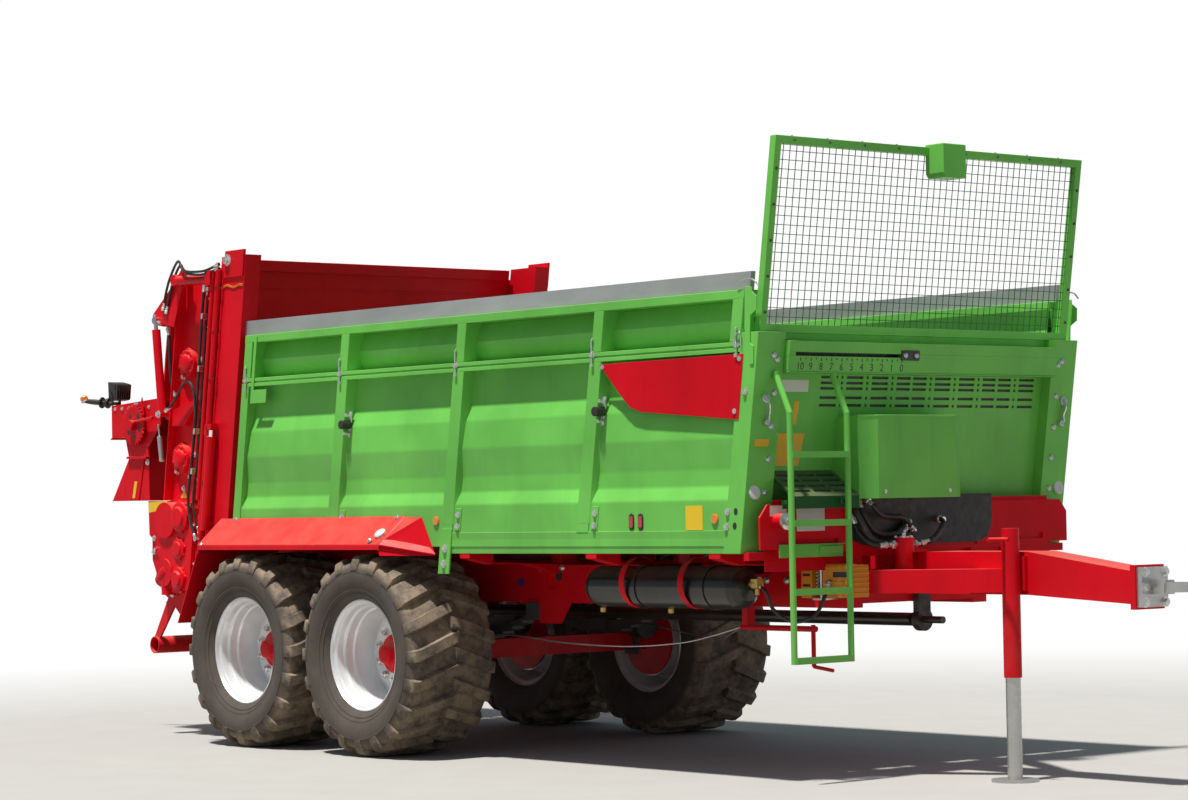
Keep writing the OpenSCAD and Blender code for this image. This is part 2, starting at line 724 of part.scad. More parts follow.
disc_x = -2250;
module disc_carrier() {
  low = disc_z - 170;
  machine() color(red) {
    both_sides() {
      translate([disc_x, disc_y, disc_z - 120]) cylinder(h = 105, r = 105);
      translate([disc_x, disc_y, disc_z - 30]) cylinder(h = 42, r = 25);
    }
    block([disc_x - 60, disc_x + 60], [-disc_y, disc_y], [disc_z - 110, disc_z - 40]);
    block([disc_x, body_rear - 390], [-80, 80], [low, disc_z - 60]);
    across(-2080, -unit_y, unit_y, 715, 30);
    // Central gear housing with the drive shaft's bearing
    difference() {
      block([body_rear - 400, body_rear - 200], [-frame_y + 22, frame_y - 22], [low, frame_z]);
      block([body_rear - 420, body_rear - 180], [130, frame_y - 60], [low - 10, frame_z - 40]);
      block([body_rear - 420, body_rear - 180], [-frame_y + 60, -130], [low - 10, frame_z - 40]);
      bar([body_rear - 300, 0, drive_z], [body_rear - 190, 0, drive_z], 32 + running);
    }
  }
}

module unit_beams() {
  z = unit_z - 40;
  machine() color(red) {
    across(unit_x + lean(z) - 60, -unit_y, unit_y, z, 30);
    both_sides()
      bar([unit_x + lean(z) + 13, unit_y + 30, z], [gate_x + lean(z) - 55, unit_y + 60, z], 12);
  }
}

// A beater: a tube with stations of three blades that follow a screw line
module beater(z, hand) {
  machine() color(red) translate([beater_x + lean(z), 0, z]) {
    across(0, -unit_y + 15, unit_y - 15, 0, beater_tube_r);
    across(0, -unit_y - 48, unit_y + 48, 0, 40);
    for (i = [0 : blade_rows - 1], k = [0 : 2]) {
      y = (i - (blade_rows - 1) / 2) * 2 * (unit_y - 75) / (blade_rows - 1);
      rotate([0, hand * abs(i - (blade_rows - 1) / 2) * 25 + k * 120, 0]) side_view(y - 6, y + 6)
        polygon([[-35, 60], [35, 60], [40, beater_r - 20], [18, beater_r - 4], [-18, beater_r - 12]]);
    }
  }
}

module beater_lower() {
  beater(beater_z, 1);
}

module beater_upper() {
  beater(beater_z + beater_rise, -1);
}

// A spreading disc with four raised vanes, drawn on the left
module spreading_disc() {
  color(steel) translate([disc_x, disc_y, disc_z]) difference() {
    union() {
      cylinder(h = 8, r = disc_r);
      cylinder(h = 60, r = 60);
      for (k = [0 : 3]) rotate([0, 0, k * 90 + 15]) {
        translate([55, -30, 0]) cube([disc_r - 62, 6, 75]);
        translate([55, -30, 69]) cube([disc_r - 62, 36, 6]);
      }
    }
    translate([0, 0, -1]) cylinder(h = 20, r = 25 + running);
  }
}

module disc_left() {
  machine() spreading_disc();
}

module disc_right() {
  machine() mirror([0, 1, 0]) spreading_disc();
}

hinge_x = -1952;
hinge_z = 2658;
// The hood cylinder's lower pivot, its rod's eye, and the direction from one to the other
barrel_pivot = [-2141, 1887];
rod_eye = [-2202, 2440];
cyl_len = norm(rod_eye - barrel_pivot);
cyl_dir = (rod_eye - barrel_pivot) / cyl_len;
cyl_y = unit_y + 94;
function on_cyl(d) = [barrel_pivot[0] + d * cyl_dir[0], cyl_y, barrel_pivot[1] + d * cyl_dir[1]];
module hood() {
  y = unit_y + 10;
  bar_x = hinge_x - 238;
  bar_z = hinge_z - 218;
  machine() color(red) {
    // Top and rear sheets, the rear beam as a channel, and the flared skirt
    side_view(-y + 30, y - 30)
      polygon([[bar_x - 8, bar_z + 4], [bar_x + 2, bar_z - 6], [hinge_x - 30, hinge_z - 8], [hinge_x - 40, hinge_z + 2]]);
    side_view(-y, y)
      polygon([[bar_x + 4, bar_z], [bar_x - 8, bar_z], [-2276, 1990], [-2700, 1967], [-2841, 1960], [-2841, 1766],
        [-2690, 1766], [-2650, 1638], [-2844, 1385], [-2836, 1385], [-2640, 1640], [-2682, 1774], [-2833, 1774],
        [-2833, 1952], [-2700, 1959], [-2264, 1982]]);
    across(bar_x, -unit_y - 70, unit_y + 70, bar_z, 26);
    both_sides() {
      side_view(y - 8, y)
        polygon([[-2270, 1987], [-2841, 1960], [-2841, 1766], [-2690, 1766], [-2650, 1638], [-2844, 1385],
          [-2427, 1385], [-2430, 1636], [-2440, 1700], [-2300, 1830]]);
      // Arm from the hinge to the bar and the cylinder's rod
      difference() {
        side_view(unit_y + 66, unit_y + 76)
          polygon([[-1900, 2640], [-1886, 2700], [-1933, 2735], [-2200, 2492], [-2244, 2482], [-2244, 2418],
            [-2143, 2400], [-2028, 2400], [-1995, 2560]]);
        across(hinge_x, unit_y, unit_y + 100, hinge_z, pin_r + running);
      }
    }
  }
}

module hood_lamps() {
  machine() color(black) both_sides() {
    block([-2862, -2792], [925, 1005], [1985, 2100]);
    bar([-2805, 965, 1964.5], [-2805, 965, 1990], 12);
    block([-2841, -2820], [950, 1008], [1961.3, 1985]);
    bar([-2830, 1000, 1975], [-3030, 1085, 1990], 14);
    block([lamp_tip_x, -3020], [1060, 1110], [1970, 2012]);
  }
}

module hood_barrels() {
  machine() color(red) both_sides() {
    difference() {
      bar(on_cyl(0), on_cyl(500), 25);
      bar(on_cyl(50), on_cyl(510), 12 + running);
    }
    across(barrel_pivot[0], unit_y + 5, cyl_y + 28, barrel_pivot[1], pin_r - 1);
  }
}

module hood_rods() {
  machine() color(silver) both_sides() {
    bar(on_cyl(70), on_cyl(cyl_len - 5), 12);
    across(rod_eye[0], cyl_y - 12, cyl_y + 12, rod_eye[1], 22);
  }
}

module drive_shaft() {
  machine() color(black) {
    bar([body_rear - 290, 0, drive_z], [2860, 0, drive_z], 32);
    bar([2850, 0, drive_z], [2940, 0, drive_z], input_r + 5);
    bar([2930, 0, drive_z], [3060, 0, drive_z], input_r);
  }
}

module shaft_guard() {
  machine() color(black) difference() {
    union() {
      translate([2900, 0, drive_z]) rotate([0, 90, 0]) cylinder(h = 40, r = 55);
      block([2900, 2940], [-40, 40], [drive_z, drawbar_top - drawbar_w]);
    }
    bar([2890, 0, drive_z], [2950, 0, drive_z], input_r + 5 + running);
  }
}

// Wheels. Profiles give radius and place along the axle, outwards positive.
module rim() {
  w = tyre_w / 2 - 50;
  seat = rim_r - 28;
  color(silver) rotate([-90, 0, 0]) union() {
    // Barrel with its lips
    rotate_extrude() polygon([[rim_r, w], [rim_r, w - 12], [rim_r - 18, w - 22], [seat, w - 60],
      [seat, -w + 60], [rim_r - 18, -w + 22], [rim_r, -w + 12], [rim_r, -w], [rim_r - 10, -w],
      [rim_r - 10, -w + 12], [rim_r - 28, -w + 22], [seat - 10, -w + 60], [seat - 10, w - 60],
      [rim_r - 28, w - 22], [rim_r - 10, w - 12], [rim_r - 10, w]]);
    // Dished disc
    rotate_extrude() polygon([[seat - 5, 26], [180, 80], [100, 80], [100, 92], [184, 92], [seat - 5, 44]]);
    // Hub with its cap
    rotate_extrude() polygon([[stub_r + running, -200], [110, -200], [110, 110], [54, 110], [50, 166],
      [34, 174], [0, 174], [0, 66], [stub_r + running, 66]]);
    // Brake drum
    rotate_extrude() polygon([[205, -200], [205, -40], [108, -40], [108, -55], [190, -55], [190, -200]]);
  }
}

module tyre() {
  h = tyre_w / 2;
  base = tyre_r - lug_h;
  seat = rim_r - 28;
  color(black) {
    rotate([-90, 0, 0]) rotate_extrude() polygon([[seat + fit, -h + 118], [rim_r - 18 + fit, -h + 77], [rim_r + fit, -h + 66],
      [rim_r + fit, -h + 46], [rim_r + 60, -h + 12], [rim_r + 110, -h], [base - 40, -h + 8], [base - 5, -h + 45], [base, 0],
      [base - 5, h - 45], [base - 40, h - 8], [rim_r + 110, h], [rim_r + 60, h - 12], [rim_r + fit, h - 46],
      [rim_r + fit, h - 66], [rim_r - 18 + fit, h - 77], [seat + fit, h - 118]]);
    intersection() {
      rotate([-90, 0, 0]) rotate_extrude() polygon([[base - 30, -h + 8], [tyre_r - 20, -h + 10],
        [tyre_r, -h + 40], [tyre_r, h - 40], [tyre_r - 20, h - 10], [base - 30, h - 8]]);
      union() for (i = [0 : lug_count - 1]) {
        rotate([0, i * 360 / lug_count, 0]) lug();
        rotate([0, (i + 0.5) * 360 / lug_count, 0]) mirror([0, 1, 0]) lug();
      }
    }
  }
}

// A lug as a slanting prism, from the middle of the tread to the shoulder
module lug() {
  translate([0, 0, tyre_r - lug_h - 20]) linear_extrude(lug_h + 30)
    polygon([[-50, -14], [18, -14], [120, tyre_w / 2], [40, tyre_w / 2]]);
}

module wheel_at(x, side) {
  machine() translate([x, side * hub_y, tyre_r]) mirror([0, side < 0 ? 1 : 0, 0]) children();
}

module rim_front_left() {
  wheel_at(0, 1) rim();
}

module rim_front_right() {
  wheel_at(0, -1) rim();
}

module rim_rear_left() {
  wheel_at(-axle_gap, 1) rim();
}

module rim_rear_right() {
  wheel_at(-axle_gap, -1) rim();
}

module tyre_front_left() {
  wheel_at(0, 1) tyre();
}

module tyre_front_right() {
  wheel_at(0, -1) tyre();
}

module tyre_rear_left() {
  wheel_at(-axle_gap, 1) tyre();
}

module tyre_rear_right() {
  wheel_at(-axle_gap, -1) tyre();
}

main_frame();
drawbar();
tow_eye();
jack_sleeve();
jack_leg();
axle_beams();
leaf_springs();
brake_gear();
air_tank();
fenders();
bumper();
side_wall_right();
side_wall_left();
upper_board_right();
upper_board_left();
crest_boards();
front_wall();
mesh_screen();
floor_plate();
scraper_chain();
ladder();
platform();
toolbox();
wheel_chocks();
oil_filter();
parking_brake();
gate_posts();
gate_cylinders();
rear_gate();
gate_rods();
unit_side_right();
unit_side_left();
drive_cases();
disc_carrier();
unit_beams();
beater_lower();
beater_upper();
disc_right();
disc_left();
hood();
hood_lamps();
hood_barrels();
hood_rods();
drive_shaft();
shaft_guard();
rim_front_right();
rim_front_left();
rim_rear_right();
rim_rear_left();
tyre_front_right();
tyre_front_left();
tyre_rear_right();
tyre_rear_left();
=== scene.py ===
"""Dresses a towed manure spreader: its wheels, sheet metal, spreading unit, fittings, paint and stage."""
import json
import math

import bmesh
import bpy
import numpy as np
from mathutils import Matrix, Vector


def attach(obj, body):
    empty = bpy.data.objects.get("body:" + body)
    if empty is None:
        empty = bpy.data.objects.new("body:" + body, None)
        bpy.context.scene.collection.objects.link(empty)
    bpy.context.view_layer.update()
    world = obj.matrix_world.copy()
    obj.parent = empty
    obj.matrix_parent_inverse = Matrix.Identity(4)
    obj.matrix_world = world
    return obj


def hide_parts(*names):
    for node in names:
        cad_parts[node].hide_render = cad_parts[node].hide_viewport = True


bl_info = {
    "name": "Manure spreader",
    "version": (1, 0, 0),
    "blender": (4, 5, 0),
    "location": "View3D > Sidebar > Spreader",
    "description": "Builds the visible pieces and finishes of a manure spreader round its frame",
    "category": "Object",
}

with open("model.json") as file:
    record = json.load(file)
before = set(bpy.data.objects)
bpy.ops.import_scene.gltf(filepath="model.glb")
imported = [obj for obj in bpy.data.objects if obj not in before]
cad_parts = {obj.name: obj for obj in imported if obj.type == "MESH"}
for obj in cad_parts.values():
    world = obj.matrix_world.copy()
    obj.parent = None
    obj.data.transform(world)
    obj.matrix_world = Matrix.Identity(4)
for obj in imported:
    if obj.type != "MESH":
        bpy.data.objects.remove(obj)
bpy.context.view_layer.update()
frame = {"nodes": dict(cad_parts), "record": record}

# Millimetres, counted from the front axle: the machine's middle, its lean, the side wall's half width and
# height from its foot up, and the places that several pieces share
MID_X = 751.5
LEAN = math.tan(math.radians(8.5))
WALL = ((1100, 1110), (1100, 1325), (1072, 1389), (1070, 1468), (1086, 1614), (1074, 1756),
        (1048, 1838), (1044, 2015))
BODY_REAR = -1350
BODY_FRONT = 2908
BOARD_END = 2790
RIBS = (-377, 652, 1748)
POST_Y = 1105
RIGHT_SKIN = -POST_Y
HUB_Y = 995.0
AXLE_Z = 538.0
WHEELBASE = 1120
UNIT_Y = 1010
TANK_Y = -820
TANK_Z = 926
FILTER_X = 3010
FILTER_Y = -210
FRONT_WALL = 2840.0
FRONT_FACE = 2848.0
FRONT_HALF = 928.0
RAIL_FRONT = 2940.0
DIAL_X = -2555
DIAL_Z = 1835
HOOD = "hood_body"

# Directions: the last is square to the leaning front
RIGHT = (0, -1, 0)
LEFT = (0, 1, 0)
FORWARD = (1, 0, 0)
UP = (0, 0, 1)
LEANING = (1, 0, 0.15)


# Shapes. Each is a pair: an array of points in metres and a list of faces.

def row(x, y, z):
    """A point in metres in the row's frame, from millimetres counted from the front axle."""
    return np.array([(x - MID_X) / 1000.0, y / 1000.0, z / 1000.0])


def rows(points):
    """The same for an array of points, one per line."""
    return (np.asarray(points, float) - np.array([MID_X, 0.0, 0.0])) / 1000.0


def lean(z):
    """How far a leaning line has moved forward at height z, in millimetres: its slope times z - 1600."""
    return (np.asarray(z, float) - 1600.0) * LEAN


def leaned(x, y, z):
    """A point whose x holds at height 1600 and moves forward with height."""
    return x + lean(z), y, z


def span(side, low, high):
    """Two half widths as Y values on one side of the machine, the smaller first."""
    return tuple(sorted((side * low, side * high)))


def grid(points, around=False, along=False):
    """Quads between neighbouring points of a grid; around and along close its first and second direction."""
    n, m = points.shape[:2]
    index = np.arange(n * m).reshape(n, m)
    if around:
        index = np.vstack([index, index[:1]])
    if along:
        index = np.hstack([index, index[:, :1]])
    quads = np.stack([index[:-1, :-1], index[1:, :-1], index[1:, 1:], index[:-1, 1:]], -1)
    return points.reshape(-1, 3), quads.reshape(-1, 4).tolist()


def capped(points):
    """A closed tube: rings of points joined by quads, with one face over each end ring."""
    verts, faces = grid(points, along=True)
    n, m = points.shape[:2]
    faces.append(list(range(m)))
    faces.append(list(range((n - 1) * m, n * m))[::-1])
    return verts, faces


def prism(outline, low, high, axis="y"):
    """An outline carried straight from low to high: it is drawn in X and Z, in Y and Z, or in X and Y."""
    flat = np.asarray(outline, float)
    ends = []
    for level in (low, high):
        fixed = np.full(len(flat), float(level))
        columns = {"y": (flat[:, 0], fixed, flat[:, 1]), "x": (fixed, flat[:, 0], flat[:, 1]),
                   "z": (flat[:, 0], flat[:, 1], fixed)}[axis]
        ends.append(np.stack(columns, -1))
    return capped(rows(np.stack(ends)))


def block(x, y, z):
    """A box between two values on each axis."""
    return prism([(x[0], z[0]), (x[1], z[0]), (x[1], z[1]), (x[0], z[1])], y[0], y[1])


def leaning_block(x, y, z):
    """A box whose ends lean: x holds at height 1600 and moves forward with height."""
    a, b = lean(z[0]), lean(z[1])
    return prism([(x[0] + a, z[0]), (x[1] + a, z[0]), (x[1] + b, z[1]), (x[0] + b, z[1])], y[0], y[1])


def ring_frame(axis):
    """Two unit vectors square to an axis and to each other."""
    axis = np.asarray(axis, float) / np.linalg.norm(axis)
    helper = np.array([0.0, 0.0, 1.0]) if abs(axis[2]) < 0.9 else np.array([1.0, 0.0, 0.0])
    u = np.cross(axis, helper)
    u /= np.linalg.norm(u)
    return axis, u, np.cross(axis, u)


def turned(profile, centre, axis, sides=48, closed=False):
    """A profile of radius and distance along an axis, turned once round it from its centre."""
    axis, u, w = ring_frame(axis)
    profile = np.asarray(profile, float)
    angle = np.linspace(0, 2 * np.pi, sides, endpoint=False)
    spoke = np.cos(angle)[:, None] * u + np.sin(angle)[:, None] * w
    points = profile[None, :, 0, None] * spoke[:, None, :] + profile[None, :, 1, None] * axis
    points = rows(points + np.asarray(centre, float))
    verts, faces = grid(points, around=True, along=closed)
    if closed:
        return verts, faces
    m = len(profile)
    faces.append([k * m for k in range(sides)][::-1])
    faces.append([k * m + m - 1 for k in range(sides)])
    return verts, faces


def disc(centre, axis, radius, height, sides=24, round_off=1.5):
    """A short cylinder with a rounded front edge, standing on centre along axis."""
    r = min(round_off, radius * 0.4, abs(height) * 0.45)
    return turned([(radius, 0), (radius, height - r), (radius - r, height)], centre, axis, sides)


def smooth_path(points, count):
    """A smooth curve through the points, resampled evenly: a Catmull-Rom cubic between each pair."""
    p = np.asarray(points, float)
    p = np.vstack([2 * p[0] - p[1], p, 2 * p[-1] - p[-2]])
    t = np.linspace(0, 1, 24, endpoint=False)[:, None]
    pieces = []
    for i in range(1, len(p) - 2):
        a, b, c, d = p[i - 1], p[i], p[i + 1], p[i + 2]
        pieces.append(0.5 * (2 * b + (c - a) * t + (2 * a - 5 * b + 4 * c - d) * t ** 2
                             + (3 * b - a - 3 * c + d) * t ** 3))
    fine = np.vstack(pieces + [p[-2][None]])
    length = np.concatenate([[0], np.cumsum(np.linalg.norm(np.diff(fine, axis=0), axis=1))])
    even = np.linspace(0, length[-1], count)
    return np.stack([np.interp(even, length, fine[:, k]) for k in range(3)], -1)


def swept(path, section, up=(0, 0, 1)):
    """A closed section of (side, up) offsets carried along a path: each ring is square to the path."""
    path = np.asarray(path, float)
    tangent = np.gradient(path, axis=0)
    tangent /= np.linalg.norm(tangent, axis=1)[:, None]
    side = np.cross(tangent, np.asarray(up, float))
    side /= np.linalg.norm(side, axis=1)[:, None] + 1e-12
    top = np.cross(side, tangent)
    section = np.asarray(section, float)
    sideways = section[None, :, 0, None] * side[:, None]
    upward = section[None, :, 1, None] * top[:, None]
    return capped(rows(path[:, None] + sideways + upward))


def pipe(path, radius, sides=10):
    """A round tube along a path whose points are already even."""
    angle = np.linspace(0, 2 * np.pi, sides, endpoint=False)
    section = np.stack([np.cos(angle), np.sin(angle)], -1) * radius
    return swept(path, section, (0.31, 0.17, 0.93))


def tube(points, radius, count=0, sides=10):
    """A round tube along a smooth path through the points, or straight between two."""
    path = np.asarray(points, float)
    if len(path) > 2:
        path = smooth_path(path, count or 8 * len(path))
    return pipe(path, radius, sides)


def hexagon(centre, axis, across, height, washer=True):
    """A bolt head: a hexagon with a chamfered top on a flat washer."""
    shapes = []
    start = 0.0
    if washer:
        shapes.append(turned([(across * 0.85, 0), (across * 0.85, 2.5)], centre, axis, 16))
        start = 2.5
    base = np.asarray(centre, float) + np.asarray(axis, float) / np.linalg.norm(axis) * start
    corner = across * 0.577
    head = [(corner, 0), (corner, height * 0.85), (across * 0.48, height)]
    shapes.append(turned(head, base, axis, 6))
    return shapes


def heads(places, axis, across, height, washer=True):
    """Bolt heads of one size at many places, all along one axis."""
    return [shape for place in places for shape in hexagon(place, axis, across, height, washer)]


def mirrored(shapes):
    """The shapes and their mirror images in the machine's middle plane, faces turned to stay outward."""
    flip = np.array([1.0, -1.0, 1.0])
    return shapes + [(v * flip, [f[::-1] for f in faces]) for v, faces in shapes]


def repeated(shape, matrices):
    """One shape at many places: its points times each 4 by 4 matrix, in metres."""
    verts, faces = shape
    v4 = np.hstack([verts, np.ones((len(verts), 1))])
    every = np.einsum("kij,nj->kni", np.asarray(matrices), v4)[..., :3]
    n = len(verts)
    return every.reshape(-1, 3), [[i + k * n for i in f] for k in range(len(matrices)) for f in faces]


def turn_about_y(centre, angles):
    """Matrices that turn about the Y line through a centre given in metres."""
    out = []
    for a in angles:
        c, s = math.cos(a), math.sin(a)
        m = np.array([[c, 0, s, 0], [0, 1, 0, 0], [-s, 0, c, 0], [0, 0, 0, 1.0]])
        shift = np.eye(4)
        shift[:3, 3] = centre
        back = np.eye(4)
        back[:3, 3] = -np.asarray(centre)
        out.append(shift @ m @ back)
    return out


def piece(name, shapes, finish, body="chassis", bevel=0.0, sharp=32.0, replaces=()):
    """One object from shapes, riding on its body: points merged, faces outward, sharp past an angle."""
    verts, faces, start = [], [], 0
    for v, f in shapes:
        verts.append(np.asarray(v))
        faces.extend([[i + start for i in face] for face in f])
        start += len(v)
    mesh = bpy.data.meshes.new(name)
    mesh.from_pydata(np.vstack(verts).tolist(), [], faces)
    work = bmesh.new()
    work.from_mesh(mesh)
    bmesh.ops.remove_doubles(work, verts=work.verts, dist=1e-6)
    bmesh.ops.recalc_face_normals(work, faces=work.faces)
    work.to_mesh(mesh)
    work.free()
    mesh.shade_smooth()
    mesh.set_sharp_from_angle(angle=math.radians(sharp))
    obj = bpy.data.objects.new(name, mesh)
    bpy.context.scene.collection.objects.link(obj)
    mesh.materials.append(FINISHES[finish])
    if bevel:
        edge = obj.modifiers.new("edge", "BEVEL")
        edge.width = bevel / 1000.0
        edge.segments = 2
        edge.limit_method = "ANGLE"
        edge.angle_limit = math.radians(30)
        edge.harden_normals = True
    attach(obj, body)
    if replaces:
        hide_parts(*replaces)
    return obj


# Finishes

FINISHES = {}


class Tree:
    """Short calls for building a node tree."""

    def __init__(self, tree):
        self.tree = tree

    def put(self, target, value):
        """Writes a number or a colour into an input, or links a socket to it."""
        if isinstance(value, bpy.types.NodeSocket):
            self.tree.links.new(value, target)
        elif target.type == "RGBA":
            target.default_value = (*value[:3], 1.0)
        else:
            target.default_value = value

    def node(self, kind, values=None, **settings):
        """A new node, with its settings first and then its inputs by name or number."""
        made = self.tree.nodes.new("ShaderNode" + kind)
        for key, value in settings.items():
            setattr(made, key, value)
        for key, value in (values or {}).items():
            self.put(made.inputs[key], value)
        return made

    def maths(self, kind, a, b):
        """One step of arithmetic with two values or sockets."""
        return self.node("Math", {0: a, 1: b}, operation=kind).outputs[0]


class Nodes(Tree):
    """A new material with short calls for its own nodes."""

    def __init__(self, name):
        self.material = bpy.data.materials.new(name)
        self.material.use_nodes = True
        super().__init__(self.material.node_tree)
        self.shader = self.tree.nodes["Principled BSDF"]
        self.place = self.node("TexCoord").outputs["Object"]

    def noise(self, scale, detail=4.0, rough=0.55, stretch=None):
        """Noise in the machine's own space, stretched along an axis where stretch is given."""
        vector = self.place
        if stretch:
            vector = self.node("Mapping", {"Vector": vector, "Scale": stretch}).outputs["Vector"]
        values = {"Vector": vector, "Scale": scale, "Detail": detail, "Roughness": rough}
        return self.node("TexNoise", values).outputs["Fac"]

    def ramp(self, source, low, high, at=(0.0, 1.0)):
        """A value carried from the range low to high into the range that at gives."""
        values = {"Value": source, "From Min": low, "From Max": high, "To Min": at[0], "To Max": at[1]}
        return self.node("MapRange", values).outputs["Result"]

    def mix(self, factor, a, b):
        """One colour or the other, or between them."""
        return self.node("Mix", {0: factor, 6: a, 7: b}, data_type="RGBA").outputs[2]

    def split(self, vector):
        """The three axes of a vector, by name."""
        return self.node("SeparateXYZ", {0: vector}).outputs

    def height(self):
        """How high a point is, in metres."""
        return self.split(self.place)["Z"]

    def from_axle(self):
        """How far a point of a wheel is from its own axle; the two axles lie evenly round one middle."""
        half_base = WHEELBASE / 2000.0
        at = self.split(self.place)
        middle = self.maths("ADD", at["X"], MID_X / 1000.0 + half_base)
        across = self.maths("SUBTRACT", self.maths("ABSOLUTE", middle, 0.0), half_base)
        up = self.maths("SUBTRACT", at["Z"], AXLE_Z / 1000.0)
        squares = self.maths("ADD", self.maths("MULTIPLY", across, across), self.maths("MULTIPLY", up, up))
        return self.maths("POWER", squares, 0.5)

    def facing_up(self):
        """How far a surface faces up, from -1 to 1."""
        return self.split(self.node("NewGeometry").outputs["Normal"])["Z"]

    def bump(self, source, strength, distance):
        """Small relief from a value, without new geometry."""
        node = self.node("Bump", {"Strength": strength, "Distance": distance, "Height": source})
        self.put(self.shader.inputs["Normal"], node.outputs["Normal"])

    def done(self, colour, rough, metallic=0.0, coat=0.0):
        """The finished material."""
        values = {"Base Color": colour, "Roughness": rough, "Metallic": metallic, "Coat Weight": coat,
                  "Coat Roughness": 0.12}
        for key, value in values.items():
            self.put(self.shader.inputs[key], value)
        return self.material


def times(colour, factor):
    """A colour made darker or lighter by a factor."""
    return tuple(min(1.0, c * factor) for c in tuple(colour)[:3])


def paint(name, colour, dust, dusty_below=(0.5, 1.3), coat=0.1, rough=(0.3, 0.46), shine=0.22):
    """Enamel: slow colour drift, rain streaks, chaff dust that thins with height, fine orange peel."""
    n = Nodes(name)
    drift = n.mix(n.ramp(n.noise(1.7, 3.0), 0.35, 0.65), times(colour, 0.86), times(colour, 1.1))
    streak = n.ramp(n.noise(9.0, 5.0, 0.6, (1.0, 1.0, 0.12)), 0.52, 0.78, (0.0, 0.22))
    streaked = n.mix(streak, drift, times(colour, 0.6))
    low = n.ramp(n.height(), dusty_below[1], dusty_below[0])
    film = n.maths("MULTIPLY", n.ramp(n.noise(4.0, 8.0, 0.65), 0.38, 0.7), low)
    settled = n.ramp(n.noise(9.0, 6.0), 0.3, 0.75, (0.5, 1.0))
    top = n.maths("MULTIPLY", n.ramp(n.facing_up(), 0.35, 0.95), settled)
    dirt = n.maths("MAXIMUM", n.maths("MULTIPLY", film, 0.18), n.maths("MULTIPLY", top, 0.42))
    final = n.mix(dirt, streaked, tuple(dust))
    roughness = n.maths("ADD", n.ramp(n.noise(6.0, 6.0), 0.3, 0.7, rough), n.maths("MULTIPLY", dirt, 0.4))
    n.bump(n.noise(420.0, 2.0), 0.06, 0.001)
    n.put(n.shader.inputs["Specular IOR Level"], shine)
    return n.done(final, roughness, coat=coat)


def rubber(name, colour, dust, cover):
    """Tread rubber: dark and matt, with patches of field dust where noise passes cover, and a fine grain."""
    n = Nodes(name)
    base = n.mix(n.ramp(n.noise(8.0, 4.0), 0.3, 0.7), times(colour, 0.8), times(colour, 1.2))
    tread = n.ramp(n.from_axle(), 0.455, 0.485, (0.06, 1.0))
    patches = n.ramp(n.noise(9.0, 9.0, 0.78), cover[0], cover[1], (0.08, 1.0))
    clods = n.maths("MULTIPLY", patches, tread)
    fine = n.ramp(n.noise(70.0, 6.0, 0.7), 0.35, 0.75)
    dirt = n.maths("ADD", n.maths("MULTIPLY", clods, 0.85), n.maths("MULTIPLY", fine, 0.08))
    final = n.mix(dirt, base, tuple(dust))
    n.bump(n.noise(60.0, 8.0, 0.7), 0.35, 0.004)
    return n.done(final, n.ramp(fine, 0.0, 1.0, (0.72, 0.95)))


def metal(name, colour, rough=(0.25, 0.5), metallic=0.85, stain=0.3, stretch=(1.0, 1.0, 1.0), grain=60.0):
    """Bare or plated metal: a brushed grain and cloudy stains."""
    n = Nodes(name)
    cloudy = n.ramp(n.noise(5.0, 6.0, 0.6, stretch), 0.35, 0.7, (0.0, stain))
    base = n.mix(cloudy, times(colour, 1.05), times(colour, 0.55))
    fine = n.noise(grain, 5.0, 0.6, stretch)
    n.bump(fine, 0.12, 0.001)
    return n.done(base, n.ramp(fine, 0.3, 0.7, rough), metallic)


def plastic(name, colour, rough=(0.35, 0.6), speck=0.15):
    """Moulded plastic or hose rubber: slight mottling, uneven gloss and a fine grain."""
    n = Nodes(name)
    base = n.mix(n.ramp(n.noise(20.0, 5.0), 0.4, 0.75, (0.0, speck)), tuple(colour), (0.32, 0.27, 0.2))
    n.bump(n.noise(260.0, 3.0), 0.1, 0.0008)
    return n.done(base, n.ramp(n.noise(30.0, 4.0), 0.3, 0.7, rough))


def lens(name, colour, painted_glow):
    """A moulded lamp lens or reflector: clear coat over ribs too fine to model. Darker stripes paint the
    ribs' light and shade, and a faint glow is painted light, as no lamp shines behind it.
    """
    n = Nodes(name)
    ribs = n.node("TexWave", {"Vector": n.place, "Scale": 90.0}).outputs["Fac"]
    # Darker stripes paint the light and shade of the ribs
    base = n.mix(ribs, times(colour, 0.75), tuple(colour))
    n.bump(ribs, 0.25, 0.001)
    # Painted light: a faint glow, with no lamp behind the lens
    n.put(n.shader.inputs["Emission Color"], colour)
    n.put(n.shader.inputs["Emission Strength"], painted_glow)
    return n.done(base, 0.12, coat=1.0)


# Sizes and colours that a user would change

def colour_prop(name, description, default):
    """A colour setting."""
    return bpy.props.FloatVectorProperty(name=name, description=description, default=default,
                                         subtype="COLOR", size=3, min=0.0, max=1.0)


def length_prop(name, description, default):
    """A length setting in metres."""
    return bpy.props.FloatProperty(name=name, description=description, default=default, unit="LENGTH")


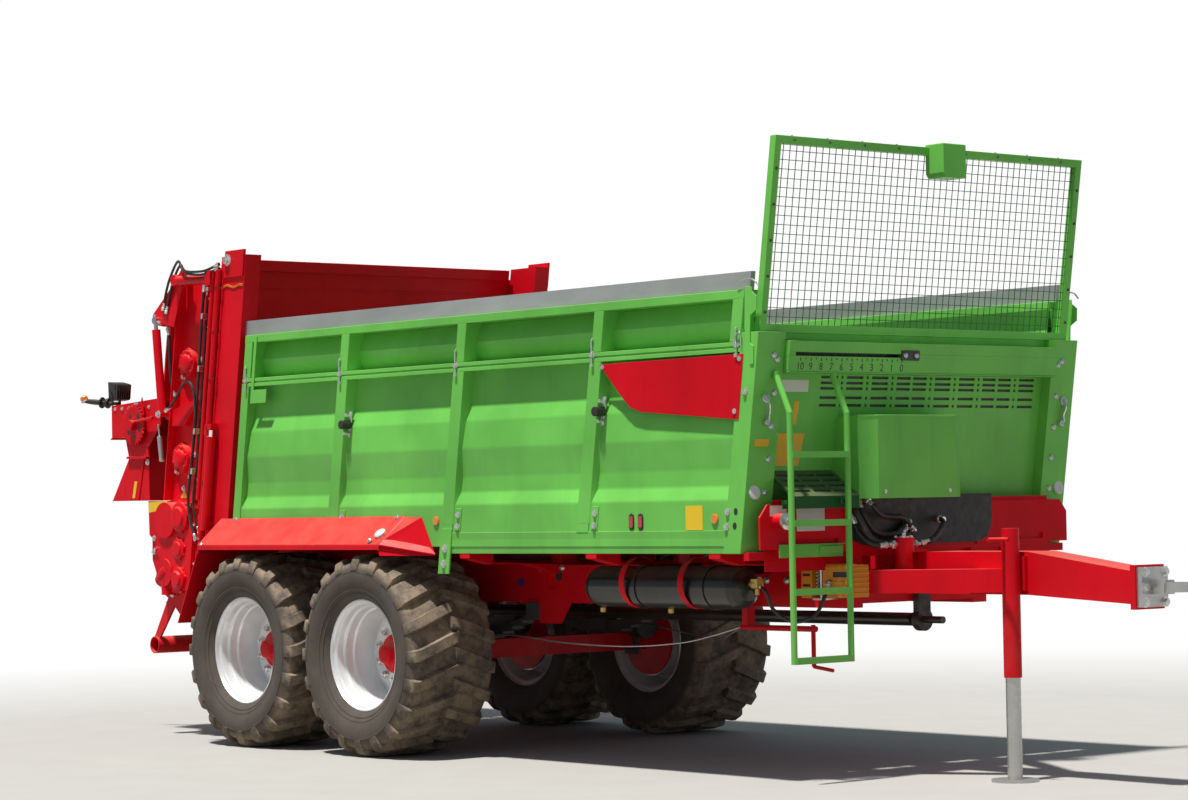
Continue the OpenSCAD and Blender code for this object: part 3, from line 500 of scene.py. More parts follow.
class SpreaderColours(bpy.types.PropertyGroup):
    """Colours of the paints and of the dust on them."""
    body: colour_prop("Body paint", "Green of the load body and its fittings", (0.175, 0.60, 0.10))
    chassis: colour_prop("Chassis paint", "Red of the chassis and the spreading unit", (0.76, 0.005, 0.016))
    platform: colour_prop("Platform paint", "Dark green of the platform", (0.010, 0.09, 0.018))
    rim: colour_prop("Rim paint", "Silver-white of the rims", (0.88, 0.88, 0.89))
    tyre: colour_prop("Tyre rubber", "Black of the clean rubber", (0.078, 0.064, 0.056))
    dust: colour_prop("Dust", "Tan of field dust and chaff", (0.40, 0.30, 0.21))
    sticker: colour_prop("Orange stickers", "Orange of the blank stickers in front", (0.88, 0.48, 0.01))
    yellow: colour_prop("Yellow stickers", "Yellow of those at side and rear", (0.92, 0.62, 0.015))


class SpreaderSizes(bpy.types.PropertyGroup):
    """Sizes of fittings that differ between machines of this kind."""
    mesh_pitch: length_prop("Mesh pitch", "Spacing of the wires of the screen", 0.0425)
    mesh_wire: length_prop("Mesh wire", "Thickness of the wires of the screen", 0.003)
    lug_width: length_prop("Lug width", "Width of a tyre lug at its foot", 0.078)


class SPREADER_OT_finishes(bpy.types.Operator):
    """Makes the finishes and puts them on the frame's own parts"""
    bl_idname = "spreader.finishes"
    bl_label = "Paint the frame"

    def execute(self, context):
        c = context.scene.spreader_colours
        dust = tuple(c.dust)
        FINISHES.update({
            "green": paint("body green", c.body, dust, (0.8, 1.4), 0.06),
            "red": paint("chassis red", c.chassis, dust, (0.3, 0.9), 0.03, (0.3, 0.46), 0.12),
            "dark_green": paint("platform green", c.platform, dust, (0.7, 1.2), 0.05, (0.4, 0.6)),
            "wire": metal("screen wire", (0.02, 0.13, 0.035), (0.4, 0.6), 0.0, 0.4),
            "blue": plastic("sign blue", (0.01, 0.05, 0.30), (0.3, 0.4), 0.05),
            "rim": metal("rim silver", c.rim, (0.28, 0.42), 0.35, 0.25),
            "black": paint("tank black", (0.014, 0.011, 0.008), dust, (0.5, 0.95), 0.3, (0.25, 0.4), 0.4),
            "tyre": rubber("dusty tread", c.tyre, (0.36, 0.27, 0.19), (0.40, 0.60)),
            "floor": metal("scraped floor", (0.34, 0.33, 0.31), (0.35, 0.65), 0.6, 0.6, (0.15, 1.0, 1.0)),
            "board": metal("grey board", (0.46, 0.47, 0.48), (0.45, 0.7), 0.45, 0.55, (0.3, 1.0, 1.0), 24.0),
            "steel": metal("plated steel", (0.55, 0.54, 0.52)),
            "dark_steel": metal("dark steel", (0.10, 0.095, 0.09), (0.5, 0.75), 0.5, 0.5),
            "chrome": metal("chromed rod", (0.8, 0.8, 0.8), (0.08, 0.16), 1.0, 0.05),
            "brass": metal("yellow chromate", (0.62, 0.44, 0.14), (0.3, 0.5), 0.8),
            "bolt": metal("bolt zinc", (0.68, 0.68, 0.66), (0.25, 0.4), 0.9, 0.2),
            "hose": plastic("hose black", (0.012, 0.012, 0.012), (0.4, 0.6), 0.12),
            "plastic": plastic("black plastic", (0.015, 0.015, 0.016)),
            "chock": plastic("chock orange", (0.80, 0.30, 0.01), (0.4, 0.6), 0.2),
            "twine": plastic("orange twine", (0.75, 0.24, 0.01), (0.6, 0.8), 0.1),
            "sticker": plastic("sticker orange", c.sticker, (0.3, 0.4), 0.06),
            "yellow": plastic("sticker yellow", c.yellow, (0.3, 0.4), 0.06),
            "plate": plastic("plate white", (0.75, 0.75, 0.73), (0.3, 0.4), 0.06),
            "name_red": paint("name plate red", (0.70, 0.003, 0.014), dust, (0.4, 0.8), 0.03, (0.3, 0.4),
                              0.12),
            # The amber and red lenses get a painted glow of 0.05
            "orange_lens": lens("orange lens", (0.9, 0.25, 0.01), 0.05),
            "red_lens": lens("red lens", (0.5, 0.01, 0.01), 0.05),
            "clear_lens": lens("clear lens", (0.75, 0.78, 0.8), 0.0),
        })
        slots = {"red_paint": "red", "green_paint": "green", "dark_green_paint": "dark_green",
                 "grey_board": "board", "bare_steel": "steel", "dark_steel": "dark_steel",
                 "cylinder_rod": "chrome", "rim_paint": "rim", "black_paint": "black",
                 "black_plastic": "plastic", "yellow_plastic": "chock", "tyre_rubber": "tyre"}
        own = {"floor_plate": "floor", "brake_gear": "dark_steel", "mesh_screen": "green"}
        for part in frame["record"]["subparts"]:
            mesh = frame["nodes"][part["node"]].data
            mesh.materials.clear()
            mesh.materials.append(FINISHES[own.get(part["node"], slots[part["material_slot"]])])
        return {"FINISHED"}


WHEELS = (("front_right", 0, -1), ("front_left", 0, 1),
          ("rear_right", -WHEELBASE, -1), ("rear_left", -WHEELBASE, 1))


def hub_centre(x, side):
    """The middle of a wheel."""
    return np.array([x, side * HUB_Y, AXLE_Z])


def tyre_shapes(x, side, lug_width):
    """A tyre: a turned carcass, and lugs as slanting bars whose foot and crown follow the tread's curve.
    A lug's centre line goes from the tread's middle to the shoulder while its angle grows evenly."""
    centre = hub_centre(x, side)
    bulge = [(270.3, -162), (275, -190), (280.3, -203), (298.3, -214), (298.4, -231), (318, -247),
             (345, -262), (378, -274), (410, -279.5), (438, -279), (462, -274), (484, -262), (497, -244),
             (502, -215), (505, -120), (506, 0)]
    profile = bulge + [(r, -y) for r, y in bulge[-2::-1]]
    shapes = [turned(profile, centre, LEFT, 120, closed=True)]
    for r, y in ((330, 255), (352, 265), (441, 278.5)):
        for s in (-1, 1):
            bead = [(r - 3, s * (y - 3)), (r - 3, s * (y + 1)), (r + 3, s * (y + 1.4)), (r + 3, s * (y - 3))]
            shapes.append(turned(bead, centre, LEFT, 96, closed=True))
    across = np.array([-16.0, 30, 90, 150, 205, 243, 262, 273, 277.5, 279.5])
    crown = np.array([538.0, 538, 537.5, 536, 533, 527, 514, 492, 470, 452])
    foot = np.array([498.0, 498, 497, 496, 492, 484, 470, 452, 440, 432])
    shift = np.interp(across, [-16, 60, 243, 280], [-18, 5, 72, 78])
    wide = np.interp(across, [-16, 243, 280], [lug_width * 0.92, lug_width, lug_width * 1.05])
    lines = []
    section = ((foot, 1.0), (crown - 6, 0.80), (crown, 0.70),
               (crown, -0.70), (crown - 6, -0.80), (foot, -1.0))
    for r, w in section:
        angle = (shift + 0.5 * w * wide) / 520.0
        lines.append(np.stack([r * np.sin(angle), across, r * np.cos(angle)], -1))
    bar = np.stack(lines, 1)
    for foot_line in (0, len(section) - 1):
        bar[:, foot_line, 1] -= np.linspace(0, 22, len(across))
    lugs = 20
    for hand, start in ((1, 0.0), (-1, 0.5)):
        lug = capped(rows(bar * np.array([1, hand, 1]) + centre))
        turns = turn_about_y(row(*centre), [(k + start) * 2 * math.pi / lugs for k in range(lugs)])
        shapes.append(repeated(lug, turns))
    return shapes


def rim_shapes(x, side):
    """A rim: a barrel with rolled lips, a dished disc and a drum, each turned from a closed profile."""
    centre = hub_centre(x, side)
    out = (0, side, 0)
    barrel = [(298, 226), (296, 230), (291, 231), (288, 227), (287, 219), (283, 211), (275, 207), (271, 203),
              (269, 196), (268, 172), (266, 166), (258, 161), (256, 157), (255, 150), (254, 118), (252, 112),
              (245, 108), (243, 103), (242, 95), (242, -60), (250, -120), (258, -168), (270, -205),
              (286, -213), (290, -230), (298, -226), (297.8, -217), (280, -207), (272, -190), (269.8, -168),
              (262, -120), (252, -60), (252, 60), (254, 100), (262, 122), (264, 150), (269.8, 168),
              (277, 190), (284, 207), (297.8, 217)]
    dish = [(247, -40), (236, -38), (222, -32), (208, -20), (192, -6), (176, 2), (160, 5), (100, 5),
            (100, 17), (160, 17), (180, 14), (198, 5), (212, -6), (226, -18), (240, -24), (247, -26)]
    drum = [(205, -200), (205, -110), (112, -110), (112, -125), (190, -125), (190, -200)]
    shapes = [turned(p, centre, out, 96, closed=True) for p in (barrel, dish)]
    shapes.append(turned(drum, centre, out, 64, closed=True))
    valve = centre + np.array([228.0, side * 60.0, 0.0])
    shapes.append(tube([valve, valve + np.array([-6.0, side * 42.0, 0.0])], 5))
    return shapes


def hub_shapes(x, side):
    """A hub with a rounded cap and its flange, turned from one profile."""
    flange = [(45.1, -200), (104, -198), (104, 24), (100, 31), (86, 33), (74, 37), (64, 44), (57, 54),
              (53, 66), (52, 84), (49, 91), (42, 96), (30, 98), (2, 98), (2, 70), (45.1, 66)]
    return [turned(flange, hub_centre(x, side), (0, side, 0), 48, closed=True)]


def nut_shapes(x, side):
    """Ten wheel nuts on a circle, each a chamfered hexagon over its washer and stud end."""
    shapes = []
    nuts, circle, dish_face = 10, 137.0, 17.0
    for k in range(nuts):
        a = 2 * math.pi * (k + 0.5) / nuts
        at = hub_centre(x, side) + np.array([circle * math.cos(a), side * dish_face, circle * math.sin(a)])
        shapes += hexagon(at, (0, side, 0), 30, 20)
        shapes.append(disc(at, (0, side, 0), 10, 34, 12, 2))
    return shapes


class SPREADER_OT_wheels(bpy.types.Operator):
    """Builds the four tyres with their lugs, the dished rims, hubs and wheel nuts"""
    bl_idname = "spreader.wheels"
    bl_label = "Wheels"

    def execute(self, context):
        wide = context.scene.spreader_sizes.lug_width * 1000
        for name, x, side in WHEELS:
            body = "wheel_" + name
            piece("tyre_tread_" + name, tyre_shapes(x, side, wide), "tyre", body, sharp=28,
                  replaces=["tyre_" + name])
            piece("dished_rim_" + name, rim_shapes(x, side), "rim", body, sharp=35, replaces=["rim_" + name])
            piece("wheel_hub_" + name, hub_shapes(x, side), "red", body, sharp=35)
            piece("wheel_nuts_" + name, nut_shapes(x, side), "bolt", body, sharp=25)
        return {"FINISHED"}


def wall_sheet(side):
    """The pressed side wall: its half width follows WALL with its height; folds are rounded and ends lean.
    A short moving mean rounds the folds, and points are kept only there and at even steps between them."""
    count, reach, skin, stations = 260, 4, 8, 24
    table = np.array(WALL, float)
    length = np.concatenate([[0], np.cumsum(np.linalg.norm(np.diff(table, axis=0), axis=1))])
    fine = np.linspace(0, length[-1], count)
    y = np.interp(fine, length, table[:, 0])
    z = np.interp(fine, length, table[:, 1])
    window = np.hanning(2 * reach + 1)
    window /= window.sum()
    y = np.convolve(np.pad(y, reach, mode="edge"), window, mode="valid")
    folds = np.where(np.abs(np.gradient(np.gradient(y))) > 0.002)[0]
    keep = np.unique(np.concatenate([np.arange(0, count, count // 10), folds, [count - 1]]))
    y, z = y[keep], z[keep]
    wide, high = np.concatenate([y, y[::-1] - skin]), np.concatenate([z, z[::-1]])
    ends = [np.stack([x + lean(high), side * wide, high], -1)
            for x in np.linspace(BODY_REAR + 5, BOARD_END + 8, stations)]
    return capped(rows(np.stack(ends)))


def leaning_prism(outline, x0, x1, side):
    """An outline of half width and height on one side, carried from x0 to x1 with both ends leaning."""
    ends = [[(x + lean(z), side * y, z) for y, z in outline] for x in (x0, x1)]
    return capped(rows(np.array(ends)))


def rib(x, side, low, high, wide, table):
    """A side post: a channel whose flanks spread towards the sheet and end on it at each height."""
    depth = np.array(table, float)
    levels = np.unique(np.clip(np.concatenate([depth[:, 1], [low, high]]), low, high))
    rings = []
    for z in levels:
        inner = np.interp(z, depth[:, 1], depth[:, 0]) - 5.0
        outline = ((-0.38, POST_Y), (0.38, POST_Y), (0.5, inner), (-0.5, inner))
        rings.append(np.array([[x + share * wide + lean(z), side * y, z] for share, y in outline]))
    return capped(rows(np.stack(rings)))


class SPREADER_OT_side_walls(bpy.types.Operator):
    """Builds the pressed side walls with their posts, rails and corner posts"""
    bl_idname = "spreader.side_walls"
    bl_label = "Side walls"

    def execute(self, context):
        for name, side in (("right", -1), ("left", 1)):
            outer = span(side, 1098, POST_Y)
            piece("pressed_side_wall_" + name, [wall_sheet(side)], "green", sharp=20,
                  replaces=["side_wall_" + name])
            posts = []
            for x in RIBS:
                posts.append(rib(x, side, 1220, 2010, 118, WALL))
                posts.append(leaning_block((x - 46, x + 46), outer, (1177, 1226)))
                posts.append(leaning_block((x + 62, x + 112), span(side, 1099, 1104), (1190, 1306)))
            rear = (BODY_REAR, BODY_REAR + 70)
            posts.append(leaning_block(rear, span(side, 1040, POST_Y), (1220, 2010)))
            posts.append(leaning_block(rear, outer, (1177, 1226)))
            foot = RIBS[1]
            posts.append(leaning_block((foot - 46, foot + 46), span(side, 1096, POST_Y + 2), (968, 1203)))
            posts.append(leaning_block((BOARD_END, BODY_FRONT), span(side, 928, POST_Y), (1073, 2100)))
            piece("side_posts_" + name, posts, "green", bevel=5)
            along = (BODY_REAR, BOARD_END + 6)
            rails = [leaning_block(along, span(side, 997, POST_Y - 7), (2010, 2058)),
                     leaning_block(along, span(side, 1090, POST_Y), (2010, 2030)),
                     leaning_block(along, span(side, 1090, POST_Y), (2038, 2058))]
            sill = ((1092, 1182), (1103, 1182), (1094, 1073), (1083, 1073))
            rails.append(leaning_prism(sill, foot, BOARD_END + 10, side))
            piece("side_rails_" + name, rails, "green", bevel=2.5)
            cheek = [leaning_block((-1839, -1724.5), span(side, 1002, 1008), (1200, 2010))]
            piece("rear_cheek_" + name, cheek, "green", bevel=1.5)
            crease = ((1005, 2058), (1012, 2066), (1037, 2156), (1039, 2163), (1037, 2170), (1012, 2252),
                      (1005, 2260))
            loop = list(crease) + [(w - 8, z) for w, z in crease[::-1]]
            boards = [leaning_prism(loop, BODY_REAR + 2, BOARD_END - 2, side),
                      leaning_block((BODY_REAR, BOARD_END), span(side, 997, POST_Y), (2258, 2300))]
            piece("upper_boards_" + name, boards, "green", bevel=4, replaces=["upper_board_" + name])
            stakes = [rib(x, side, 2058, 2260, 96, crease) for x in (BODY_REAR + 40, *RIBS, BOARD_END - 40)]
            piece("upper_stakes_" + name, stakes, "green", bevel=4)
        return {"FINISHED"}


class SPREADER_OT_screen(bpy.types.Operator):
    """Builds the front screen: a frame of angle bars with a grid of thin wires"""
    bl_idname = "spreader.screen"
    bl_label = "Mesh screen"

    def execute(self, context):
        sizes = context.scene.spreader_sizes
        pitch, wire = sizes.mesh_pitch * 1000, sizes.mesh_wire * 1000
        x, half, low, high, bar = 2849.0, 1060.0, 2100.0, 3004.0, 38
        deep = (x - 20, x + 20)
        shapes = [leaning_block(deep, (-half, -half + 40), (low, high)),
                  leaning_block(deep, (half - 40, half), (low, high)),
                  leaning_block(deep, (-half + bar, half - bar), (high - bar, high)),
                  leaning_block(deep, (-half + bar, half - bar), (low, low + bar))]
        piece("screen_frame", shapes, "green", bevel=3, replaces=["mesh_screen"])
        thin, hidden = wire / 2, 30
        wires = []
        upright = (low + hidden, high - hidden)
        for y in np.arange(-half + hidden + pitch, half - hidden, pitch):
            wires.append(leaning_block((x - thin, x + thin), (y - thin, y + thin), upright))
        level = (-half + hidden, half - hidden)
        for z in np.arange(low + hidden + pitch, high - hidden, pitch):
            wires.append(leaning_block((x + thin, x + wire * 1.5), level, (z - thin, z + thin)))
        piece("screen_wires", wires, "wire")
        clips = []
        for z in np.arange(low + 90, high - 60, 165):
            clips += heads([leaned(x + 20, y, z) for y in (-half + 20, half - 20)], LEANING, 12, 6, False)
        for y in np.arange(-half + 120, half - 60, 230):
            clips += hexagon(leaned(x + 20, y, high - 18), LEANING, 10, 5, False)
            clips += hexagon(leaned(x, y, high), UP, 10, 5, False)
        piece("screen_clips", clips, "dark_steel")
        face = [(-45, high + 14), (115, high + 14), (115, high - 150), (-30, high - 150), (-45, high - 130)]
        foot = x + lean(high)
        piece("screen_bracket", [prism(face, foot - 10, foot + 110, "x")], "green", bevel=5)
        return {"FINISHED"}


class SPREADER_OT_side_fittings(bpy.types.Operator):
    """Adds the bare name plate, stickers, reflectors, latches and bolts along the sides"""
    bl_idname = "spreader.side_fittings"
    bl_label = "Side fittings"

    def execute(self, context):
        self.name_plate_and_bolts()
        self.latches_and_brackets()
        self.lamps_and_reflectors()
        return {"FINISHED"}

    def name_plate_and_bolts(self):
        """The bare name plate with its bolts, and the bolts of posts and corner post."""
        plate = [(1843, 1997), (2878, 2001), (2836, 1697), (2150, 1755), (2073, 1778), (2020, 1822)]
        plates = [prism(plate, RIGHT_SKIN - 3.5, RIGHT_SKIN - 0.5)]
        piece("name_plate", mirrored(plates), "name_red", bevel=1)
        corners = ((1868, 1984), (2852, 1980), (2812, 1736))
        bolts = heads([(x, RIGHT_SKIN - 3.5, z) for x, z in corners], RIGHT, 15, 6)
        bolts += heads([leaned(RIBS[1], RIGHT_SKIN - 2, z) for z in (1020, 1100)], RIGHT, 24, 12)
        bolts += heads([leaned(x + 88, RIGHT_SKIN, z) for x in RIBS for z in (1212, 1272)], RIGHT, 20, 9)
        front = [leaned(BOARD_END + x, RIGHT_SKIN, z) for x, z in ((60, 1826), (7, 1270), (7, 1199))]
        piece("side_bolts", mirrored(bolts + heads(front, RIGHT, 20, 10)), "bolt")

    def latches_and_brackets(self):
        """The toggle latches of the upper boards, and their brackets, ends and hooks."""
        latches = []
        for x in (BODY_REAR + 45, *(x - 20 for x in RIBS), BOARD_END - 20):
            x += lean(2030)
            hook = [(x, RIGHT_SKIN - 7, 1992), (x, RIGHT_SKIN - 7, 2112), (x + 9, RIGHT_SKIN - 7, 2128)]
            latches.append(tube(hook, 4.5, 12))
            latches += hexagon((x - 3, RIGHT_SKIN, 2046), RIGHT, 22, 12)
            latches.append(block((x - 9, x + 9), (RIGHT_SKIN - 13, RIGHT_SKIN), (1988, 2006)))
        piece("toggle_latches", mirrored(latches), "bolt", bevel=1.5)
        ends = [(2901, 2312), (2946, 2309), (2948, 2287), (2980, 2263), (2977, 2201), (2934, 2176),
                (2931, 2123), (2928, 2048), (2951, 2034), (2949, 1952), (2923, 1950), (2893, 2121)]
        bracket = [leaning_block((-1250, -1095), (RIGHT_SKIN - 5, RIGHT_SKIN), (1915, 1990)),
                   leaning_block((-1250, -1225), (RIGHT_SKIN - 5, RIGHT_SKIN), (1990, 2290))]
        piece("board_brackets", mirrored(bracket), "green", bevel=1.5)
        piece("board_ends", mirrored([prism(ends, RIGHT_SKIN - 6, RIGHT_SKIN - 1)]), "green", bevel=1.5)
        paths = (((2850, 8, 2325), (2895, 10, 2346), (2955, 8, 2342), (2992, 2, 2312)),
                 ((2820, 10, 2040), (2838, 12, 2088), (2866, 10, 2100), (2869, 6, 2040)))
        hooks = [tube([(x, RIGHT_SKIN - out, z) for x, out, z in path], 4, 16) for path in paths]
        piece("board_hooks", mirrored(hooks), "steel")

    def lamps_and_reflectors(self):
        """Red side lamps in long oval rims, round reflectors and a bare sticker."""
        height = 1227
        angle = np.linspace(0, 2 * np.pi, 28, endpoint=False)
        oval = np.stack([np.cos(angle), np.sin(angle) + 1.1 * np.sign(np.sin(angle))], -1)
        rims, lamps = [], []
        for x in (2057, 2124):
            rims.append(prism(oval * 19 + (x, height), -1103.5, -1100.2))
            lamps.append(prism(oval * 14 + (x, height), -1106.5, -1103.4))
        piece("side_lamp_rims", mirrored(rims), "hose")
        piece("red_side_lamps", mirrored(lamps), "red_lens")
        places = ((2656, 1237), (500, 1243))
        amber = [turned([(24, 0), (24, 6), (20, 9)], (x, -1101, z), RIGHT, 24) for x, z in places]
        piece("amber_reflectors", mirrored(amber), "orange_lens")
        sticker = [block((2450, 2570), (-1102.2, -1100.4), (1185, 1300))]
        piece("side_sticker", mirrored(sticker), "yellow")


class SPREADER_OT_front(bpy.types.Operator):
    """Builds the front wall with its vents, the scale of the gate and the stickers and bolts round it"""
    bl_idname = "spreader.front"
    bl_label = "Front wall and scale"

    def execute(self, context):
        piece("front_sheet", self.vented_sheet(), "green", sharp=20, replaces=["front_wall"])
        self.rail_and_scale()
        self.stickers_and_plates()
        self.corners()
        self.under_the_platform()
        return {"FINISHED"}

    def vented_sheet(self):
        """The wall in strips between its vents: a row has three groups of slots, long and short by turns."""
        sheet, whole = (FRONT_WALL, FRONT_FACE), (-FRONT_HALF, FRONT_HALF)
        long, short, bridge, tall, margin = 112.0, 14.0, 22.0, 13.0, 40
        shapes = []
        low = 1190.0
        for z in (1759, 1795, 1839, 1865, 1892):
            shapes.append(leaning_block(sheet, whole, (low, z)))
            low = z + tall
            edge = -FRONT_HALF
            for start in (-620.0, -15.0, 590.0):
                at = start
                for wide in (long, short, long, short, long, short, long):
                    if at + wide < FRONT_HALF - margin:
                        shapes.append(leaning_block(sheet, (edge, at), (z, low)))
                        edge = at + wide
                    at += wide + bridge
            shapes.append(leaning_block(sheet, (edge, FRONT_HALF), (z, low)))
        shapes.append(leaning_block(sheet, whole, (low, 2100)))
        return shapes

    def rail_and_scale(self):
        """The rail with its slot, whose inside is a black block of painted shade, and the slider, ticks and
        numbers that show how far the gate is open.
        """
        whole = (-FRONT_HALF, FRONT_HALF)
        slot_low, slot_high = 1990, 2008
        rail = [leaning_block((FRONT_FACE, RAIL_FRONT), y, z) for y, z in
                ((whole, (1917, slot_low)), ((-FRONT_HALF, -885), (slot_low, slot_high)),
                 ((-165, FRONT_HALF), (slot_low, slot_high)), (whole, (slot_high, 2060)))]
        rail.append(leaning_block((FRONT_FACE, RAIL_FRONT + 5), whole, (1912, 1917)))
        piece("scale_rail", rail, "green", bevel=2)
        # A dark sheet behind the vents paints the shade seen through their slots
        vent_shade_sheet = leaning_block((FRONT_WALL - 5, FRONT_WALL - 2), (-660, 900), (1735, 1925))
        piece("painted_vent_shade", [vent_shade_sheet], "dark_steel")
        # A black block inside the rail's slot paints the shade within it
        slot = leaning_block((2890, 2896), (-887, -163), (slot_low - 1, slot_high + 1))
        piece("painted_slot_shade", [slot], "plastic")
        slider_front = RAIL_FRONT + 6
        slider = leaning_block((RAIL_FRONT, slider_front), (-190, -66), (1978, 2026))
        piece("scale_slider", [slider], "plastic", bevel=2)
        slider_bolts = [leaned(slider_front, y, 2003) for y in (-165, -90)]
        piece("slider_bolts", heads(slider_bolts, LEANING, 17, 8), "bolt")
        first, step, line = -852.0, 33.6, 1982
        ink = (RAIL_FRONT + 0.2, RAIL_FRONT + 1.0)
        marks = []
        for k in range(21):
            y, tall = first + step * k, 15.0 if k % 2 == 0 else 8.0
            marks.append(leaning_block(ink, (y - 2.5, y + 2.5), (line - tall, line)))
        piece("scale_ticks", marks, "hose")
        for k in range(11):
            numeral(str(10 - k), first + 2 * step * k, 1926.0)

    def stickers_and_plates(self):
        """The bare stickers and plates on the wall and under it."""
        flat = []
        slanted = (((-795, -750), (1674, 1783), 12), ((-915, -700), (1480, 1632), 26))
        for (y0, y1), (z0, z1), slip in slanted:
            outline = ((y0, z0), (y1 - slip, z0), (y1, z1), (y0 + slip, z1))
            flat.append(leaning_prism(outline, FRONT_FACE + 0.3, FRONT_FACE + 1.1, 1))
        flat.append(leaning_block((BODY_FRONT + 0.3, BODY_FRONT + 1.2), (-1073, -983), (1570, 1604)))
        piece("front_stickers", flat, "sticker")
        low_face = (2920.3, 2921.6)
        plates = [leaning_block((FRONT_FACE + 0.3, FRONT_FACE + 1.6), (-880, -700), (1827, 1883)),
                  block(low_face, (-997, -892), (1245, 1294)),
                  block(low_face, (-827, -645), (1172, 1292))]
        piece("blank_plates", plates, "plate", bevel=0.4)

    def corners(self):
        """The bolts, latches and round caps down both corner posts."""
        corner = ((-996, 1993), (-972, 1974), (-976, 1819), (-979, 1664), (-979, 1512), (-984, 1358),
                  (-990, 1240))
        bolts = heads([leaned(BODY_FRONT, y, z) for y, z in corner], LEANING, 20, 10)
        top = heads([(2895, y, 2061) for y in (-770, -520, -250, 90, 420, 760)], UP, 16, 7)
        piece("front_bolts", mirrored(bolts) + top, "bolt")
        latch, discs = [], []
        x = BODY_FRONT + lean(1735)
        strap = [(-21, -4), (21, -4), (21, 4), (-21, 4)]
        dish = [(34, 0), (34, 9), (30, 12), (14, 12), (12, 8), (2, 8)]
        for side in (-1, 1):
            path = [(x + 8, side * 1031, 1800), (x + 18, side * 1026, 1765), (x + 8, side * 1018, 1730),
                    (x + 6, side * 1022, 1690)]
            latch.append(swept(smooth_path(path, 16), strap, (0, 1, 0.2)))
            latch.append(disc((x, side * 1031, 1792), LEANING, 24, 22, 20))
            latch.append(disc((x - 6, side * 1019, 1680), LEANING, 16, 22, 16))
            discs.append(turned(dish, leaned(BODY_FRONT, side * 1052, 1357), LEANING, 36))
        piece("corner_latches", latch, "bolt", bevel=1)
        piece("corner_discs", discs, "plate")

    def under_the_platform(self):
        """The low sheet, a black sheet of painted shade behind the hoses, and the edge and bolts of the
        toolbox.
        """
        low_wide = (-946, -532)
        low_sheet = [block((2921.5, 2926), low_wide, (1050, 1112)),
                     block((2926, 2945), low_wide, (1108, 1112)),
                     block((2926, 2934), (-690, -540), (1062, 1100))]
        piece("low_front_sheet", low_sheet, "green", bevel=1.5)
        # A guess: the photo shows only dark behind the hoses under the toolbox, so this black sheet paints
        # that shade
        half_shade_outline = [(400, 1098), (470, 1125), (505, 1190), (505, 1335)]
        shade_outline = [(-y, z) for y, z in half_shade_outline[::-1]] + half_shade_outline
        piece("painted_shade_behind_hoses", [prism(shade_outline, 2921.6, 2923.6, "x")], "hose")
        edge = [(2975, -502), (3013, -502), (3066, -418), (3066, 110), (3013, 192), (2975, 192)]
        piece("toolbox_lid_edge", [prism(edge, 1706, 1716, "z")], "green", bevel=2)
        piece("toolbox_bolts", heads([(3064, y, 1352) for y in (-380, 60)], FORWARD, 12, 5), "bolt")


def numeral(text, y, z):
    """A stencilled number on the scale's rail: its outline is laid in the rail's leaning plane."""
    type_size = 0.0486
    font = bpy.data.curves.new("number_" + text, "FONT")
    font.body = text
    font.size = type_size
    font.align_x = "CENTER"
    font.extrude = 0.0003
    carrier = bpy.data.objects.new("number_" + text, font)
    bpy.context.scene.collection.objects.link(carrier)
    flat = bpy.data.meshes.new_from_object(carrier)
    bpy.data.objects.remove(carrier)
    points = np.empty(len(flat.vertices) * 3)
    flat.vertices.foreach_get("co", points)
    across, upward, outward = points.reshape(-1, 3).T * 1000.0
    up = z + upward
    placed = np.stack([RAIL_FRONT + 0.5 + outward + lean(up), y + across, up], -1)
    piece("scale_number_" + text, [(rows(placed), [list(p.vertices) for p in flat.polygons])], "hose")


def bearing(x, z):
    """A flange bearing on the left: a three-lobed casting, a domed cover and six bosses round it."""
    shapes = []
    y = 1050.0
    angle = np.linspace(0, 2 * np.pi, 60, endpoint=False)
    lobes = 82 + 16 * np.clip(np.cos(3 * angle + 0.6), -0.2, 1) ** 2
    outline = np.stack([x + lobes * np.cos(angle), z + lobes * np.sin(angle)], -1)
    shapes.append(prism(outline, UNIT_Y + 0.3, 1030))
    cap = [(81.5, -22), (81.5, 0), (78, 3), (58, 4), (52, 12), (44, 18), (30, 21), (2, 22)]
    shapes.append(turned(cap, (x, y, z), LEFT, 40))
    for k in range(6):
        a = math.radians(60 * k + 15)
        foot = (x + 66 * math.cos(a), y - 2, z + 66 * math.sin(a))
        shapes.append(disc(foot, LEFT, 9, 12, 12))
    return shapes


